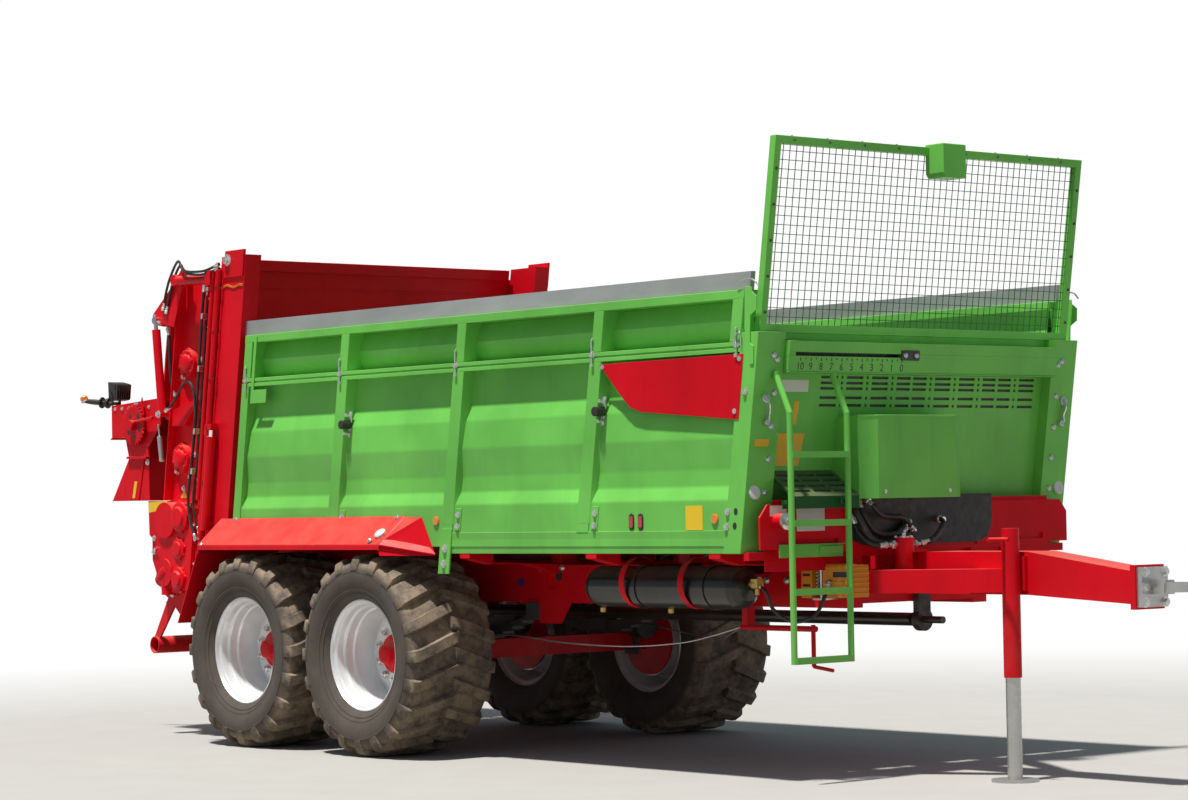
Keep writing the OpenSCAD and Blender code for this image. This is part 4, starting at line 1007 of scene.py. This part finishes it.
def drive_case():
    """The castings over the drive on the right, a flat case with covers and bosses, and their bolts."""
    outline = [(-2275, 1097), (-2137, 1163), (-2088, 1333), (-2020, 1369), (-1864, 1367), (-1823, 1246),
               (-1773, 1162), (-1829, 1006), (-1878, 837), (-1988, 836), (-2181, 846), (-2256, 931)]
    inner = [(-2120, 1200), (-2040, 1350), (-1880, 1350), (-1840, 1180), (-1890, 860), (-2060, 850)]
    case = [prism(outline, -1070, -UNIT_Y - 0.3), prism(inner, -1092, -1070)]
    for x, z, r, out in ((-1959, 1284, 86, 34), (-1982, 1100, 58, 24), (-1986, 925, 66, 34)):
        shares = ((1, 0), (1, 0.5), (0.86, 0.62), (0.72, 0.66), (0.6, 1), (0.2, 1))
        cover = [(r * wide, out * far) for wide, far in shares]
        case.append(turned(cover, (x, -1090, z), RIGHT, 40))
        for k in range(8):
            a = math.radians(45 * k + 10)
            case.append(disc((x + r * math.cos(a), -1088, z + r * math.sin(a)), RIGHT, 11, 12, 12))
    inset, mid_x, mid_z = 0.07, -2000, 1100
    bosses = [(x * (1 - inset) + mid_x * inset, z * (1 - inset) + mid_z * inset) for x, z in outline]
    for x, z in bosses:
        case.append(disc((x, -1068, z), RIGHT, 15, 12, 12))
    for x, z in ((-2150, 1040), (-2215, 1080), (-2110, 900)):
        case.append(disc((x, -1068, z), RIGHT, 30, 16, 20, 6))
    neck = [(56, 0), (58, 50), (44, 110), (38, 132)]
    case.append(turned(neck, (-2130, -1050, 975), (-0.75, -0.05, -0.45), 32))
    return case, heads([(x, -1080, z) for x, z in bosses], RIGHT, 16, 8, False)


def ring_path(centre, wide, deep):
    """A closed oval in a level plane round a centre, as path points."""
    a = np.linspace(0, 2 * np.pi, 20)
    x, y, z = centre
    return np.stack([x + wide * np.cos(a), y + deep * np.sin(a), np.full(len(a), z)], -1)


class SPREADER_OT_unit(bpy.types.Operator):
    """Adds bearings, castings, bolts, plates and the posts' fittings to the spreading unit"""
    bl_idname = "spreader.unit"
    bl_label = "Spreading unit"

    def execute(self, context):
        self.bearings_and_bolts()
        case, case_bolts = drive_case()
        piece("drive_castings", case, "red", bevel=3)
        piece("casting_bolts", case_bolts, "bolt")
        self.plates_and_beam()
        self.post_fittings()
        return {"FINISHED"}

    def bearings_and_bolts(self):
        """The beaters' bearings, the bolts of the unit's sides and the stiffeners round the hood's pin."""
        castings, bolts = [], []
        for z in (1622, 2174):
            x = -2030 + lean(z)
            castings += bearing(x, z)
            lobes = ((-98, 40), (-88, -72), (92, 20))
            bolts += heads([(x + dx, UNIT_Y, z + dz) for dx, dz in lobes], LEFT, 24, 16)
        piece("bearings", mirrored(castings), "red", bevel=2)
        post = (1180, 1340, 1500, 1760, 1900, 2060, 2220, 2380, 2540)
        bolts += heads([leaned(-1840, 1035, z) for z in post], LEANING, 20, 10)
        plate = ((-2380, 1160), (-2385, 1080), (-2300, 880), (-2190, 830), (-2060, 2560), (-1800, 2600),
                 (-2050, 1450))
        bolts += heads([(x, UNIT_Y, z) for x, z in plate], LEFT, 20, 10)
        pin = (-1952, 1084, 2658)
        bolts += hexagon(pin, LEFT, 34, 16)
        bolts += hexagon((-1400, 1115, 2738), LEFT, 40, 20)
        bolts += hexagon((-2141, 1120, 1887), LEFT, 26, 14)
        bolts += heads([(x, 1076, z) for x, z in ((-2228, 2466), (-2178, 2426))], LEFT, 22, 12)
        piece("unit_bolts", mirrored(bolts), "bolt")
        gusset = [(-2158, 1897), (-1847, 1965), (-1846, 1935), (-1990, 1813), (-2118, 1817)]
        stiff = [prism(gusset, UNIT_Y + 0.3, 1046),
                 tube([(-1925, 1112, 2655), (-1560, 1112, 2640)], 28, sides=24),
                 disc(pin, LEFT, 34, 44, 24),
                 prism([(-1604, 2604), (-1545, 2610), (-1540, 2690), (-1600, 2684)], 1104, 1142)]
        piece("unit_stiffeners", mirrored(stiff), "red", bevel=2)

    def plates_and_beam(self):
        """The rear plates, the gate's beam and the bare yellow stickers."""
        rear_plate = [(-2447, 1381), (-2439, 1180), (-2390, 1150), (-2250, 1150), (-2200, 1381)]
        piece("unit_rear_plates", mirrored([prism(rear_plate, 1000.5, 1006.5)]), "red")
        beam = [leaning_block((-1684, -1622), (-975, 975), (2690, 2752)),
                leaning_block((-1667, -1660), (-975, 975), (2596, 2606))]
        piece("gate_beam", beam, "red", "gate", bevel=8)
        yellow = [prism([(-2085, 1395), (-2010, 1395), (-2048, 1440)], UNIT_Y + 0.2, UNIT_Y + 1.4),
                  prism([(-2441, 1374), (-2240, 1380), (-2228, 1333), (-2444, 1311)], 1006.7, 1007.7)]
        piece("unit_stickers", mirrored(yellow), "yellow")

    def post_fittings(self):
        """The pipes, seams and cable ties on the gate's posts, and a loose end of twine."""
        slim = [leaned(-1640, -1123, z) for z in (1160, 2690)]
        pipes = [tube(slim, 17, sides=20), tube([(x + 30, -1108, z) for x, y, z in slim], 6)]
        piece("post_pipes", mirrored(pipes), "red")
        seams = [leaning_block((-1620, -1615), (-1105.8, -1104.9), (1170, 2690))]
        piece("post_seams", mirrored(seams), "hose")
        band = [(-2.8, -1.4), (2.8, -1.4), (2.8, 1.4), (-2.8, 1.4)]
        heights = (1480, 1800, 2070, 2340, 2590)
        ties = [swept(ring_path(leaned(-1634, -1119, z), 32, 23), band) for z in heights]
        piece("cable_ties", ties, "hose")
        along = np.linspace(-1505, -1262, 24)
        rise = 2592 + 6 * np.sin(along / 21.0) - 0.02 * (along + 1400)
        wave = np.stack([along, np.full(24, -1109.0), rise], -1)
        piece("post_tie", [tube(wave, 2.6), tube(wave + np.array([0, 0, -7.0]), 2.2)], "twine")


class SPREADER_OT_hood(bpy.types.Operator):
    """Adds the toothed dials, lamps, markers, gas springs and stickers of the hood"""
    bl_idname = "spreader.hood"
    bl_label = "Hood fittings"

    def execute(self, context):
        self.index_dials()
        self.arms_and_bolts()
        self.work_lamps()
        self.markers_and_springs()
        self.skirt()
        return {"FINISHED"}

    def index_dials(self):
        """The dials that set the hood: a toothed rim, its radius a squared-off sine, with pins and holes;
        the holes are black ovals of painted shade.
        """
        teeth = np.linspace(0, 2 * np.pi, 145, endpoint=False)
        radius = 116 + 7 * np.tanh(3 * np.sin(26 * teeth))
        outline = np.stack([DIAL_X + radius * np.cos(teeth), DIAL_Z + radius * np.sin(teeth)], -1)
        dial = [prism(outline, 1030, 1038), disc((DIAL_X, 1036, DIAL_Z), LEFT, 30, 30, 24),
                disc((-2600, 1022, 1742), LEFT, 16, 14, 20), disc((-2520, 1022, 1748), LEFT, 14, 14, 20),
                tube([(DIAL_X, 1042, 1850), (-2330, 1042, 1872)], 10)]
        handle = [(-2470, 2000), (-2450, 1900), (-2520, 1780), (-2540, 1790), (-2500, 1900)]
        dial.append(prism(handle, 1022, 1030))
        piece("index_dials", mirrored(dial), "red", HOOD, bevel=1.5)
        # The holes are black ovals laid on the dial: painted shade, not openings
        holes = []
        places = ((-2500, 1885, 17), (-2490, 1815, 17), (-2590, 1890, 13), (-2605, 1800, 17),
                  (-2545, 1765, 14))
        for x, z, r in places:
            hole = [(x + r * math.cos(a), z + 1.3 * r * math.sin(a)) for a in np.linspace(0, 6.1, 16)]
            holes.append(prism(hole, 1038.2, 1038.8))
        piece("painted_dial_hole_shade", mirrored(holes), "hose", HOOD)

    def arms_and_bolts(self):
        """The arms' outer skins, the beam's lip and the bolts of the hood's sides."""
        arm = [(-1917, 2723), (-2252, 2478), (-2253, 2428), (-2140, 2415), (-2028, 2391), (-1927, 2640)]
        piece("hood_arm_skins", mirrored([prism(arm, 1076.2, 1080)]), "red", HOOD, bevel=1)
        piece("beam_lips", [block((-2855, -2836), (-1012, 1012), (1755, 1766))], "red", HOOD, bevel=2)
        bolts = heads([(x, UNIT_Y, 1940) for x in (-2800, -2720, -2640, -2480, -2420)], LEFT, 14, 6)
        places = ((-2600, 1755), (-2660, 1790), (-2440, 1610), (-2560, 1960))
        bolts += heads([(x, UNIT_Y, z) for x, z in places], LEFT, 20, 10)
        piece("hood_bolts", mirrored(bolts), "bolt", HOOD)

    def work_lamps(self):
        """The work lamps with their cooling fins, glass, stems and bows."""
        lamp, glass, fins = [], [], []
        for side in (-1, 1):
            body = [(-2866, 1990), (-2800, 1996), (-2786, 2090), (-2872, 2106)]
            lamp.append(prism(body, side * 905, side * 1015))
            pane = [(-2874, 2000), (-2868, 2000), (-2875, 2098), (-2880, 2098)]
            glass.append(prism(pane, side * 915, side * 1005))
            fin = [(-2806, 1998), (-2780, 2002), (-2768, 2084), (-2794, 2090)]
            for k in range(7):
                y = 914 + k * 15.5
                fins.append(prism(fin, side * y, side * (y + 5)))
            lamp.append(tube([(-2830, side * 960, 1995), (-2830, side * 960, 1962)], 9))
            bow = [(-2835, side * 1020, 2045), (-2815, side * 1020, 1990), (-2815, side * 985, 1966)]
            lamp.append(tube(bow, 5, 14))
        piece("work_lamps", lamp + fins, "plastic", HOOD, bevel=1.5, replaces=["hood_lamps"])
        piece("work_lamp_glass", glass, "clear_lens", HOOD)

    def markers_and_springs(self):
        """The rubber arms with their marker lamps, and the gas springs."""
        arms, lenses, whites, struts = [], [], [], []
        arm_profile = [(13, 0), (13, 26), (30, 27), (32, 34), (30, 41), (14, 42), (14, 70), (34, 72),
                       (34, 80), (15, 82), (17, 120), (15, 170), (12, 195)]
        lens_profile = [(14, 0), (22, 3), (24, 10), (24, 22), (19, 30), (6, 33)]
        for side in (-1, 1):
            root = np.array([-2838.0, side * 1004.0, 1974.0])
            tip = np.array([-3018.0, side * 1088.0, 1995.0])
            along = (tip - root) / np.linalg.norm(tip - root)
            arms.append(turned(arm_profile, root, along, 24))
            arms.append(tube([root, (-2800, side * 990, 1974)], 10))
            upright = (-0.35, side * 0.2, 0.9)
            lenses.append(turned(lens_profile, tip, upright, 20))
            whites.append(turned([(17, -6), (24, -4), (24, 1), (17, 3)], tip, upright, 20))
            struts.append(tube([(-2296, side * 1024, 1832), (-2276, side * 1024, 1690)], 6))
            struts.append(tube([(-2286, side * 1024, 1762), (-2264, side * 1024, 1614)], 15, sides=16))
        piece("marker_arms", arms, "hose", HOOD)
        piece("marker_lenses", lenses, "orange_lens", HOOD)
        piece("marker_rims", whites, "plate", HOOD)
        piece("gas_springs", struts, "steel", HOOD, bevel=1)

    def skirt(self):
        """The skirts' folded edges and bare stickers."""
        skirt = [(-2618, 1400), (-2590, 1400), (-2560, 1500), (-2590, 1500)]
        piece("skirt_stickers", mirrored([prism(skirt, UNIT_Y + 0.3, UNIT_Y + 1.3)]), "yellow", HOOD)
        flare = [prism([(-2652, 1636), (-2430, 1632), (-2430, 1646), (-2646, 1650)], 1008, 1030),
                 prism([(-2552, 1384), (-2540, 1384), (-2474, 1632), (-2486, 1632)], UNIT_Y, 1016)]
        piece("skirt_folds", mirrored(flare), "red", HOOD, bevel=1.5)


class SPREADER_OT_chassis(bpy.types.Operator):
    """Adds the chocks, the filter's and tank's fittings, floor bearers, fender edges and bolts"""
    bl_idname = "spreader.chassis"
    bl_label = "Chassis fittings"

    def execute(self, context):
        self.chocks()
        self.filter_and_tank()
        self.frame_pieces()
        self.fender_pieces()
        return {"FINISHED"}

    def chocks(self):
        """The wheel chocks, their slots painted on as black strips of shade, their spring, and the round end
        of the tensioner beside them.
        """
        y0, y1 = -594.0, -482.0
        chock = [prism([(2700, 852), (2771, 850), (2773, 1020), (2702, 1028)], y0, y1),
                 prism([(2846, 850), (3043, 856), (3043, 1008), (2846, 1014)], y0, y1)]
        for k in range(6):
            z = 868.0 + 24.0 * k
            chock.append(block((3043, 3050), (y0 + 4, y1 - 4), (z, z + 10)))
        for z in (917, 990):
            chock.append(block((2850, 3040), (y0 - 5, y0), (z, z + 14)))
        piece("chocks", chock, "chock", bevel=4, replaces=["wheel_chocks"])
        # The slots are black strips on the chocks' face: painted shade
        slots = [((2917, 3038), z) for z in ((951, 976), (888, 904))]
        slots += [((2712, 2762), (z, z + 12)) for z in (880, 905, 955, 980)]
        piece("painted_chock_slot_shade", [block(x, (y0 - 0.8, y0 - 0.2), z) for x, z in slots], "hose")
        turns = np.linspace(0, 2 * np.pi * 9, 180)
        rise = np.linspace(860, 1010, 180)
        coil = np.stack([2796 + 11 * np.cos(turns), y0 + 20 + 11 * np.sin(turns), rise], -1)
        spring = [swept(coil, [(-2.4, 0), (0, -2.4), (2.4, 0), (0, 2.4)]),
                  block((2775, 2842), (y0, y1), (842, 850)), block((2775, 2842), (y0, y1), (1014, 1022)),
                  tube([(2822, y0 + 16, 850), (2822, y0 + 16, 1014)], 7)]
        piece("chock_spring", spring, "bolt")
        cup = [(41, 0), (41, 8), (34, 12), (20, 13), (16, 10), (2, 10)]
        ends = [turned(cup, (2978.3, -950, 1222), FORWARD, 36)]
        piece("tension_end", ends + hexagon((2988, -950, 1222), FORWARD, 30, 14), "bolt")

    def filter_and_tank(self):
        """The oil filter's ends and band, the air tank's valves and straps."""
        fittings = []
        union = [(14, 0), (14, 14), (20, 15), (20, 32), (13, 34), (13, 58)]
        for s in (-1, 1):
            fittings.append(turned(union, (FILTER_X, FILTER_Y + s * 50, 1098), (0, s, 0), 20))
            fittings += hexagon((FILTER_X, FILTER_Y + s * 66, 1098), (0, s, 0), 38, 18, False)
        piece("filter_fittings", fittings, "bolt")
        offsets = [36 * np.array([math.cos(a), math.sin(a)]) for a in np.radians((45, 135, 225, 315))]
        tops = heads([(FILTER_X + dx, FILTER_Y + dy, 1130) for dx, dy in offsets], UP, 14, 8)
        cap = [(30, 0), (30, 6), (12, 10), (12, 22), (2, 22)]
        tops.append(turned(cap, (FILTER_X, FILTER_Y, 1130), UP, 24))
        piece("filter_top", tops, "bolt")
        piece("filter_band", [turned([(42.6, 0), (42.6, 40)], (FILTER_X, FILTER_Y, 985), UP, 40)], "red")
        drain = [(10, 0), (14, 4), (14, 24), (4, 28)]
        coupling = [(16, 0), (16, 22), (24, 23), (24, 46), (12, 48), (12, 60)]
        valve = [turned(coupling, (2588, TANK_Y, 924), FORWARD, 20),
                 block((2612, 2656), (TANK_Y - 22, TANK_Y + 22), (905, 948)),
                 tube([(2634, TANK_Y, 900), (2634, TANK_Y, 872)], 12),
                 turned(drain, (1500, TANK_Y, 800), (0, 0, -1), 16),
                 turned(drain, (2014, TANK_Y, 801.5), (0, 0, -1), 16)]
        piece("tank_valves", valve, "brass", bevel=1)
        band = [(124.5, -19), (127.5, -19), (127.5, 19), (124.5, 19)]
        straps = [turned(band, (x, TANK_Y, TANK_Z), FORWARD, 64, True) for x in (1790, 2225)]
        piece("tank_straps", straps, "red")

    def frame_pieces(self):
        """The frame's bare signs, its holes painted as black discs of shade, the floor's bearers and the
        frame's bolts.
        """
        mark = dict(height=0.8, sides=28, round_off=0.1)
        # Each hole is a black disc on the frame: painted shade
        piece("painted_frame_hole_shade", mirrored([disc((751, 488, 945), LEFT, 30, **mark)]), "hose")
        signs = [disc((430, 488, 905), LEFT, 22, **mark), disc((2695, 482.5, 938), LEFT, 22, **mark)]
        piece("round_signs", mirrored(signs), "blue")
        bearers = []
        for k in range(9):
            x = -1330.0 + 510.0 * k
            bearers.append(block((x, x + 60), (-985, 985), (1118, 1212)))
        for side in (-1, 1):
            bearers.append(block((-1640, 240), (side * 634 - 3, side * 634 + 3), (1000, 1212)))
            bearers.append(block((2600, 2880), (side * 620 - 3, side * 620 + 3), (1000, 1212)))
            bearers.append(block((2862, 2868), span(side, 480, 985), (985, 1212)))
            bearers.append(block((2830, 2868), span(side, 985, 1086), (1040, 1078)))
        bearers.append(block((2855, 2868), (-480, 480), (1045, 1110)))
        piece("floor_bearers", bearers, "red")
        cap = turned([(18, 0), (18, 10), (10, 14)], (2588.5, -770, 938), FORWARD, 20)
        piece("tank_caps", [cap], "plate")
        bolts = heads([(4370, y, z) for y in (-68, 68) for z in (832, 900, 968)], FORWARD, 28, 16)
        bolts += heads([(x, -488.2, 985) for x in (600, 660, 720, 780)], RIGHT, 22, 12)
        for x in (0, -WHEELBASE):
            bolts += heads([(x + dx, y, 480) for dx in (-45, 45) for y in (-495, -415)], (0, 0, -1), 26, 20)
        bolts += heads([(x, -480.2, 930) for x in (2620, 2480, 2340, -1500, -1700)], RIGHT, 22, 12)
        piece("chassis_bolts", bolts, "bolt")

    def fender_pieces(self):
        """The fenders' fronts, edges, bolts and reflectors, and the holes and rubber stops above them; the
        holes are black ovals of painted shade.
        """
        slope = (0, 0.66, 0.75)
        bolts = heads([(130, 1262, 1146), (-1480, 1262, 1124)], (0, 0.85, 0.5), 18, 8)
        bolts += heads([(x, 1118, 1264) for x in (-1350, 180)], slope, 18, 8)
        piece("fender_bolts", mirrored(bolts), "bolt")
        ridge, edge, crest = (371, 1102, 1264), (200, 1270, 1130), (205, 1105, 1268)
        apron = np.array([ridge, (485, 1102, 1062), (224, 1270, 1066), edge])
        roof = np.array([edge, ridge, crest])
        nose = [capped(rows(np.stack([apron, apron + np.array((5, 0, 0))]))),
                capped(rows(np.stack([roof, roof + np.array((0, 0, -5))])))]
        piece("fender_fronts", mirrored(nose), "red")
        piece("fender_lips", mirrored([block((-1508, 226), (1268, 1274), (1096, 1122))]), "red", bevel=2)
        reflector = turned([(33, 0), (33, 10), (27, 15), (2, 16)], (164, 1215, 1178), slope, 32)
        piece("fender_reflectors", mirrored([reflector]), "plate")
        angle = np.linspace(0, 2 * np.pi, 24, endpoint=False)
        oval = np.stack([13 * np.cos(angle), 17 * np.sin(angle)], -1)
        # The holes are black ovals on the side skin: painted shade
        ovals = [prism(oval + at, POST_Y + 0.1, POST_Y + 0.7) for at in ((2804, 1270), (2795, 1203))]
        piece("painted_corner_hole_shade", mirrored(ovals), "hose")
        stops, stop_bolts = [], []
        for at in (RIBS[0] + 62, RIBS[2] + 62):
            stops.append(disc(leaned(at, 1080, 1768), LEFT, 24, 59, 20))
            stop_bolts.append(leaning_block((at - 16, at + 16), (1076, 1084), (1700, 1842)))
            stop_bolts += heads([leaned(at, 1084, z) for z in (1722, 1820)], LEFT, 20, 26)
        piece("rubber_stops", mirrored(stops), "hose", bevel=2)
        piece("stop_bolts", mirrored(stop_bolts), "bolt")


# Hoses and cables: a name, a hose's radius, and the points of the route

HOSES = (
    ("hose_cavity_outer", 16, ((2935, -120, 1180), (2975, -250, 1105), (2985, -400, 1130),
                               (2975, -470, 1230), (2925, -478, 1320))),
    ("hose_cavity_inner", 14, ((2935, -90, 1210), (2965, -220, 1150), (2972, -350, 1160), (2962, -420, 1235),
                               (2920, -430, 1318))),
    ("hose_cavity_top", 13, ((2935, -60, 1160), (2970, -170, 1225), (2972, -300, 1235), (2960, -360, 1285),
                             (2920, -370, 1318))),
    ("hose_tank", 9, ((2612, -820, 924), (2660, -816, 908), (2690, -812, 880), (2715, -790, 800),
                      (2790, -740, 745), (2870, -680, 770), (2900, -640, 850), (2898, -600, 935))),
    ("hose_filter_left", 13, ((3010, -320, 1098), (3005, -370, 1096), (2985, -420, 1110), (2945, -455, 1170),
                              (2922, -465, 1250))),
    ("hose_filter_right", 13, ((3010, -100, 1098), (3030, -30, 1120), (3010, 60, 1180), (2960, 110, 1210),
                               (2921, 120, 1215))),
    ("hose_post_left", 7.5, ((-1478, -1120, 2722), (-1530, -1124, 2708), (-1620, -1148, 2688),
                             (-1800, -1150, 2704), (-1902, -1124, 2766), (-2020, -1100, 2690),
                             (-2085, -1092, 2600), (-2130, -1088, 2490))),
    ("hose_post_right", 7.5, ((-1480, -1118, 2696), (-1540, -1122, 2686), (-1630, -1146, 2670),
                              (-1790, -1146, 2690), (-1880, -1122, 2742), (-1990, -1098, 2670),
                              (-2050, -1090, 2580), (-2100, -1086, 2470))),
    ("hose_cylinder", 9, ((-2090, -1032, 1985), (-2110, -1046, 2060), (-2122, -1050, 2200),
                          (-2126, -1050, 2330), (-2140, -1048, 2400))),
    ("hose_flange_a", 8.5, ((-1712, -1068, 2630), (-1738, -1076, 2400), (-1778, -1076, 2100),
                            (-1810, -1078, 1850), (-1850, -1084, 1600), (-1868, -1100, 1400),
                            (-1838, -1104, 1250), (-1790, -1096, 1140))),
    ("hose_flange_b", 7, ((-1700, -1052, 2610), (-1722, -1056, 2400), (-1762, -1056, 2100),
                          (-1796, -1058, 1850), (-1826, -1062, 1600), (-1844, -1082, 1400),
                          (-1816, -1088, 1270), (-1776, -1080, 1180))),
    ("hose_branch", 7.5, ((-2110, -1098, 1900), (-2090, -1090, 1912), (-2000, -1090, 1975),
                          (-1900, -1096, 2060), (-1822, -1092, 2040), (-1800, -1086, 1900),
                          (-1830, -1086, 1700), (-1870, -1086, 1500))),
)
CABLE_RADIUS = 4
CABLES = (
    ("cable_right", ((2196, -530, 699), (2000, -545, 652), (1781, -565, 614), (1400, -585, 590),
                     (915, -592, 598), (602, -596, 622), (400, -598, 630), (204, -600, 632))),
    ("cable_left", ((204, 600, 632), (420, 570, 612), (800, 420, 596), (1200, 180, 600), (1600, -100, 615),
                    (1950, -380, 650), (2194, -522, 698))),
)


def hose_piece(name, radius, path, finish="hose"):
    """A hose or cable: a round tube along an even path."""
    obj = piece(name, [pipe(path, radius, 12)], finish)


def hose_end(path, radius, first, second):
    """The crimped sleeve and nut of a hose, from one numbered point of its path towards another."""
    along = path[second] - path[first]
    start = path[first] + along / np.linalg.norm(along) * 4.0
    sleeve = [(radius + 1.5, 0), (radius + 5, 2), (radius + 5, 20), (radius + 1.5, 22), (radius + 1.5, 46),
              (radius + 0.4, 48)]
    return turned(sleeve, start, along, 14)


class SPREADER_OT_hoses(bpy.types.Operator):
    """Lays the hydraulic and brake hoses and their end fittings"""
    bl_idname = "spreader.hoses"
    bl_label = "Hoses"

    def execute(self, context):
        count = 60
        for name, points in CABLES:
            hose_piece(name, CABLE_RADIUS, smooth_path(points, count), "steel")
        ends = []
        for name, radius, points in HOSES:
            path = smooth_path(points, count)
            hose_piece(name, radius, path)
            ends += [hose_end(path, radius, 0, 2), hose_end(path, radius, count - 1, count - 3)]
        piece("hose_ends", ends, "bolt")
        heights = (2420, 2120, 1760, 1530)
        clamps = [leaning_block((-1838, -1822), (-1098, -1062), (z, z + 34)) for z in heights]
        piece("hose_clamps", clamps, "bolt", bevel=3)
        return {"FINISHED"}


class SPREADER_OT_stage(bpy.types.Operator):
    """Lays a pale floor that runs on to the horizon, with a soft sky, a sun and the camera"""
    bl_idname = "spreader.stage"
    bl_label = "Stage"

    def execute(self, context):
        self.floor()
        self.sky_and_sun()
        self.camera()
        context.scene.view_settings.view_transform = "Standard"
        return {"FINISHED"}

    def floor(self):
        """A round floor that fades into plain white with its distance, for the camera alone."""
        radius = np.array([0.001, 4, 9, 14, 25, 60, 200])
        angle = np.linspace(0, 2 * np.pi, 64, endpoint=False)
        points = np.stack([radius[:, None] * np.cos(angle), radius[:, None] * np.sin(angle),
                           np.zeros((len(radius), 64))], -1)
        verts, faces = grid(points.transpose(1, 0, 2), around=True)
        mesh = bpy.data.meshes.new("floor")
        mesh.from_pydata(verts.tolist(), [], faces)
        floor = bpy.data.objects.new("floor", mesh)
        bpy.context.scene.collection.objects.link(floor)
        n = Nodes("pale floor")
        mottled = n.mix(n.noise(3.0, 3.0), (0.43, 0.42, 0.40), (0.48, 0.47, 0.45))
        rays = n.node("LightPath").outputs
        seen = n.maths("MAXIMUM", rays["Is Camera Ray"], rays["Is Glossy Ray"])
        n.done(n.mix(seen, (0.27, 0.25, 0.215), mottled), 0.8)
        n.put(n.shader.inputs["Specular IOR Level"], 0.1)
        far = n.node("VectorMath", {0: n.place}, operation="LENGTH").outputs["Value"]
        fade = n.maths("MULTIPLY", n.ramp(far, 5.0, 11.0), seen)
        white = n.node("Emission").outputs[0]
        faded = n.node("MixShader", {0: fade, 1: n.shader.outputs[0], 2: white}).outputs[0]
        n.put(n.tree.nodes["Material Output"].inputs["Surface"], faded)
        mesh.materials.append(n.material)
        return floor

    def sky_and_sun(self):
        """A soft sky that the camera sees as white, and one high sun."""
        scene = bpy.context.scene
        world = bpy.data.worlds.new("soft sky")
        scene.world = world
        world.use_nodes = True
        sky = Tree(world.node_tree)
        light = sky.tree.nodes["Background"]
        sky.put(light.inputs["Color"], (0.72, 0.87, 1.0))
        sky.put(light.inputs["Strength"], 0.31)
        rays = sky.node("LightPath").outputs
        seen = sky.maths("MAXIMUM", rays["Is Camera Ray"], rays["Is Transmission Ray"])
        backdrop = sky.node("Background", {"Color": (1.0, 1.0, 1.0)}).outputs[0]
        blend = sky.node("MixShader", {0: seen, 1: light.outputs[0], 2: backdrop}).outputs[0]
        sky.put(sky.tree.nodes["World Output"].inputs["Surface"], blend)
        sun = bpy.data.lights.new("sun", "SUN")
        sun.energy = 4.8
        sun.angle = math.radians(3.0)
        sun.color = (1.0, 0.97, 0.92)
        sun_object = bpy.data.objects.new("sun", sun)
        towards = Vector((0.02, -0.29, 0.957))
        sun_object.matrix_world = (-towards).to_track_quat("-Z", "Y").to_matrix().to_4x4()
        scene.collection.objects.link(sun_object)

    def camera(self):
        """The photo's camera, from its turn, tilt and roll, its place and its focal length in pixels."""
        scene = bpy.context.scene
        yaw, pitch, roll = math.radians(49.884), math.radians(-1.872), math.radians(-1.038)
        back = Vector((math.sin(yaw) * math.cos(pitch), -math.cos(yaw) * math.cos(pitch), math.sin(pitch)))
        right = (-back).cross(Vector((0, 0, 1))).normalized()
        down = (-back).cross(right)
        level, upright = right, down
        right = math.cos(roll) * level - math.sin(roll) * upright
        down = math.sin(roll) * level + math.cos(roll) * upright
        focal_pixels, frame_width = 3149.47, 1188.0
        camera_data = bpy.data.cameras.new("camera")
        camera_data.sensor_width = 36.0
        camera_data.lens = focal_pixels * camera_data.sensor_width / frame_width
        camera_data.sensor_fit = "HORIZONTAL"
        camera_data.clip_end = 500.0
        camera = bpy.data.objects.new("camera", camera_data)
        turn = Matrix((right, -down, back)).transposed().to_4x4()
        camera.matrix_world = Matrix.Translation((12.834, -11.038, 1.322)) @ turn
        scene.collection.objects.link(camera)
        scene.camera = camera


OPERATORS = (SPREADER_OT_finishes, SPREADER_OT_hoses, SPREADER_OT_wheels, SPREADER_OT_side_walls,
             SPREADER_OT_screen, SPREADER_OT_front, SPREADER_OT_side_fittings, SPREADER_OT_unit,
             SPREADER_OT_hood, SPREADER_OT_chassis, SPREADER_OT_stage)


class SPREADER_PT_panel(bpy.types.Panel):
    """Lists the steps and the settings in the sidebar"""
    bl_label = "Manure spreader"
    bl_idname = "SPREADER_PT_panel"
    bl_space_type = "VIEW_3D"
    bl_region_type = "UI"
    bl_category = "Spreader"

    def draw(self, context):
        for group in (context.scene.spreader_colours, context.scene.spreader_sizes):
            for key in group.__annotations__:
                self.layout.prop(group, key)
        for operator in OPERATORS:
            self.layout.operator(operator.bl_idname)


CLASSES = (SpreaderColours, SpreaderSizes, *OPERATORS, SPREADER_PT_panel)


def register():
    """Registers the classes and hangs the settings on the scene."""
    for cls in CLASSES:
        bpy.utils.register_class(cls)
    bpy.types.Scene.spreader_colours = bpy.props.PointerProperty(type=SpreaderColours)
    bpy.types.Scene.spreader_sizes = bpy.props.PointerProperty(type=SpreaderSizes)


def unregister():
    """Takes the settings and the classes away again."""
    del bpy.types.Scene.spreader_sizes
    del bpy.types.Scene.spreader_colours
    for cls in reversed(CLASSES):
        bpy.utils.unregister_class(cls)


def main():
    register()
    for operator in OPERATORS:
        group, name = operator.bl_idname.split(".")
        getattr(getattr(bpy.ops, group), name)()


if __name__ == "__main__":
    main()
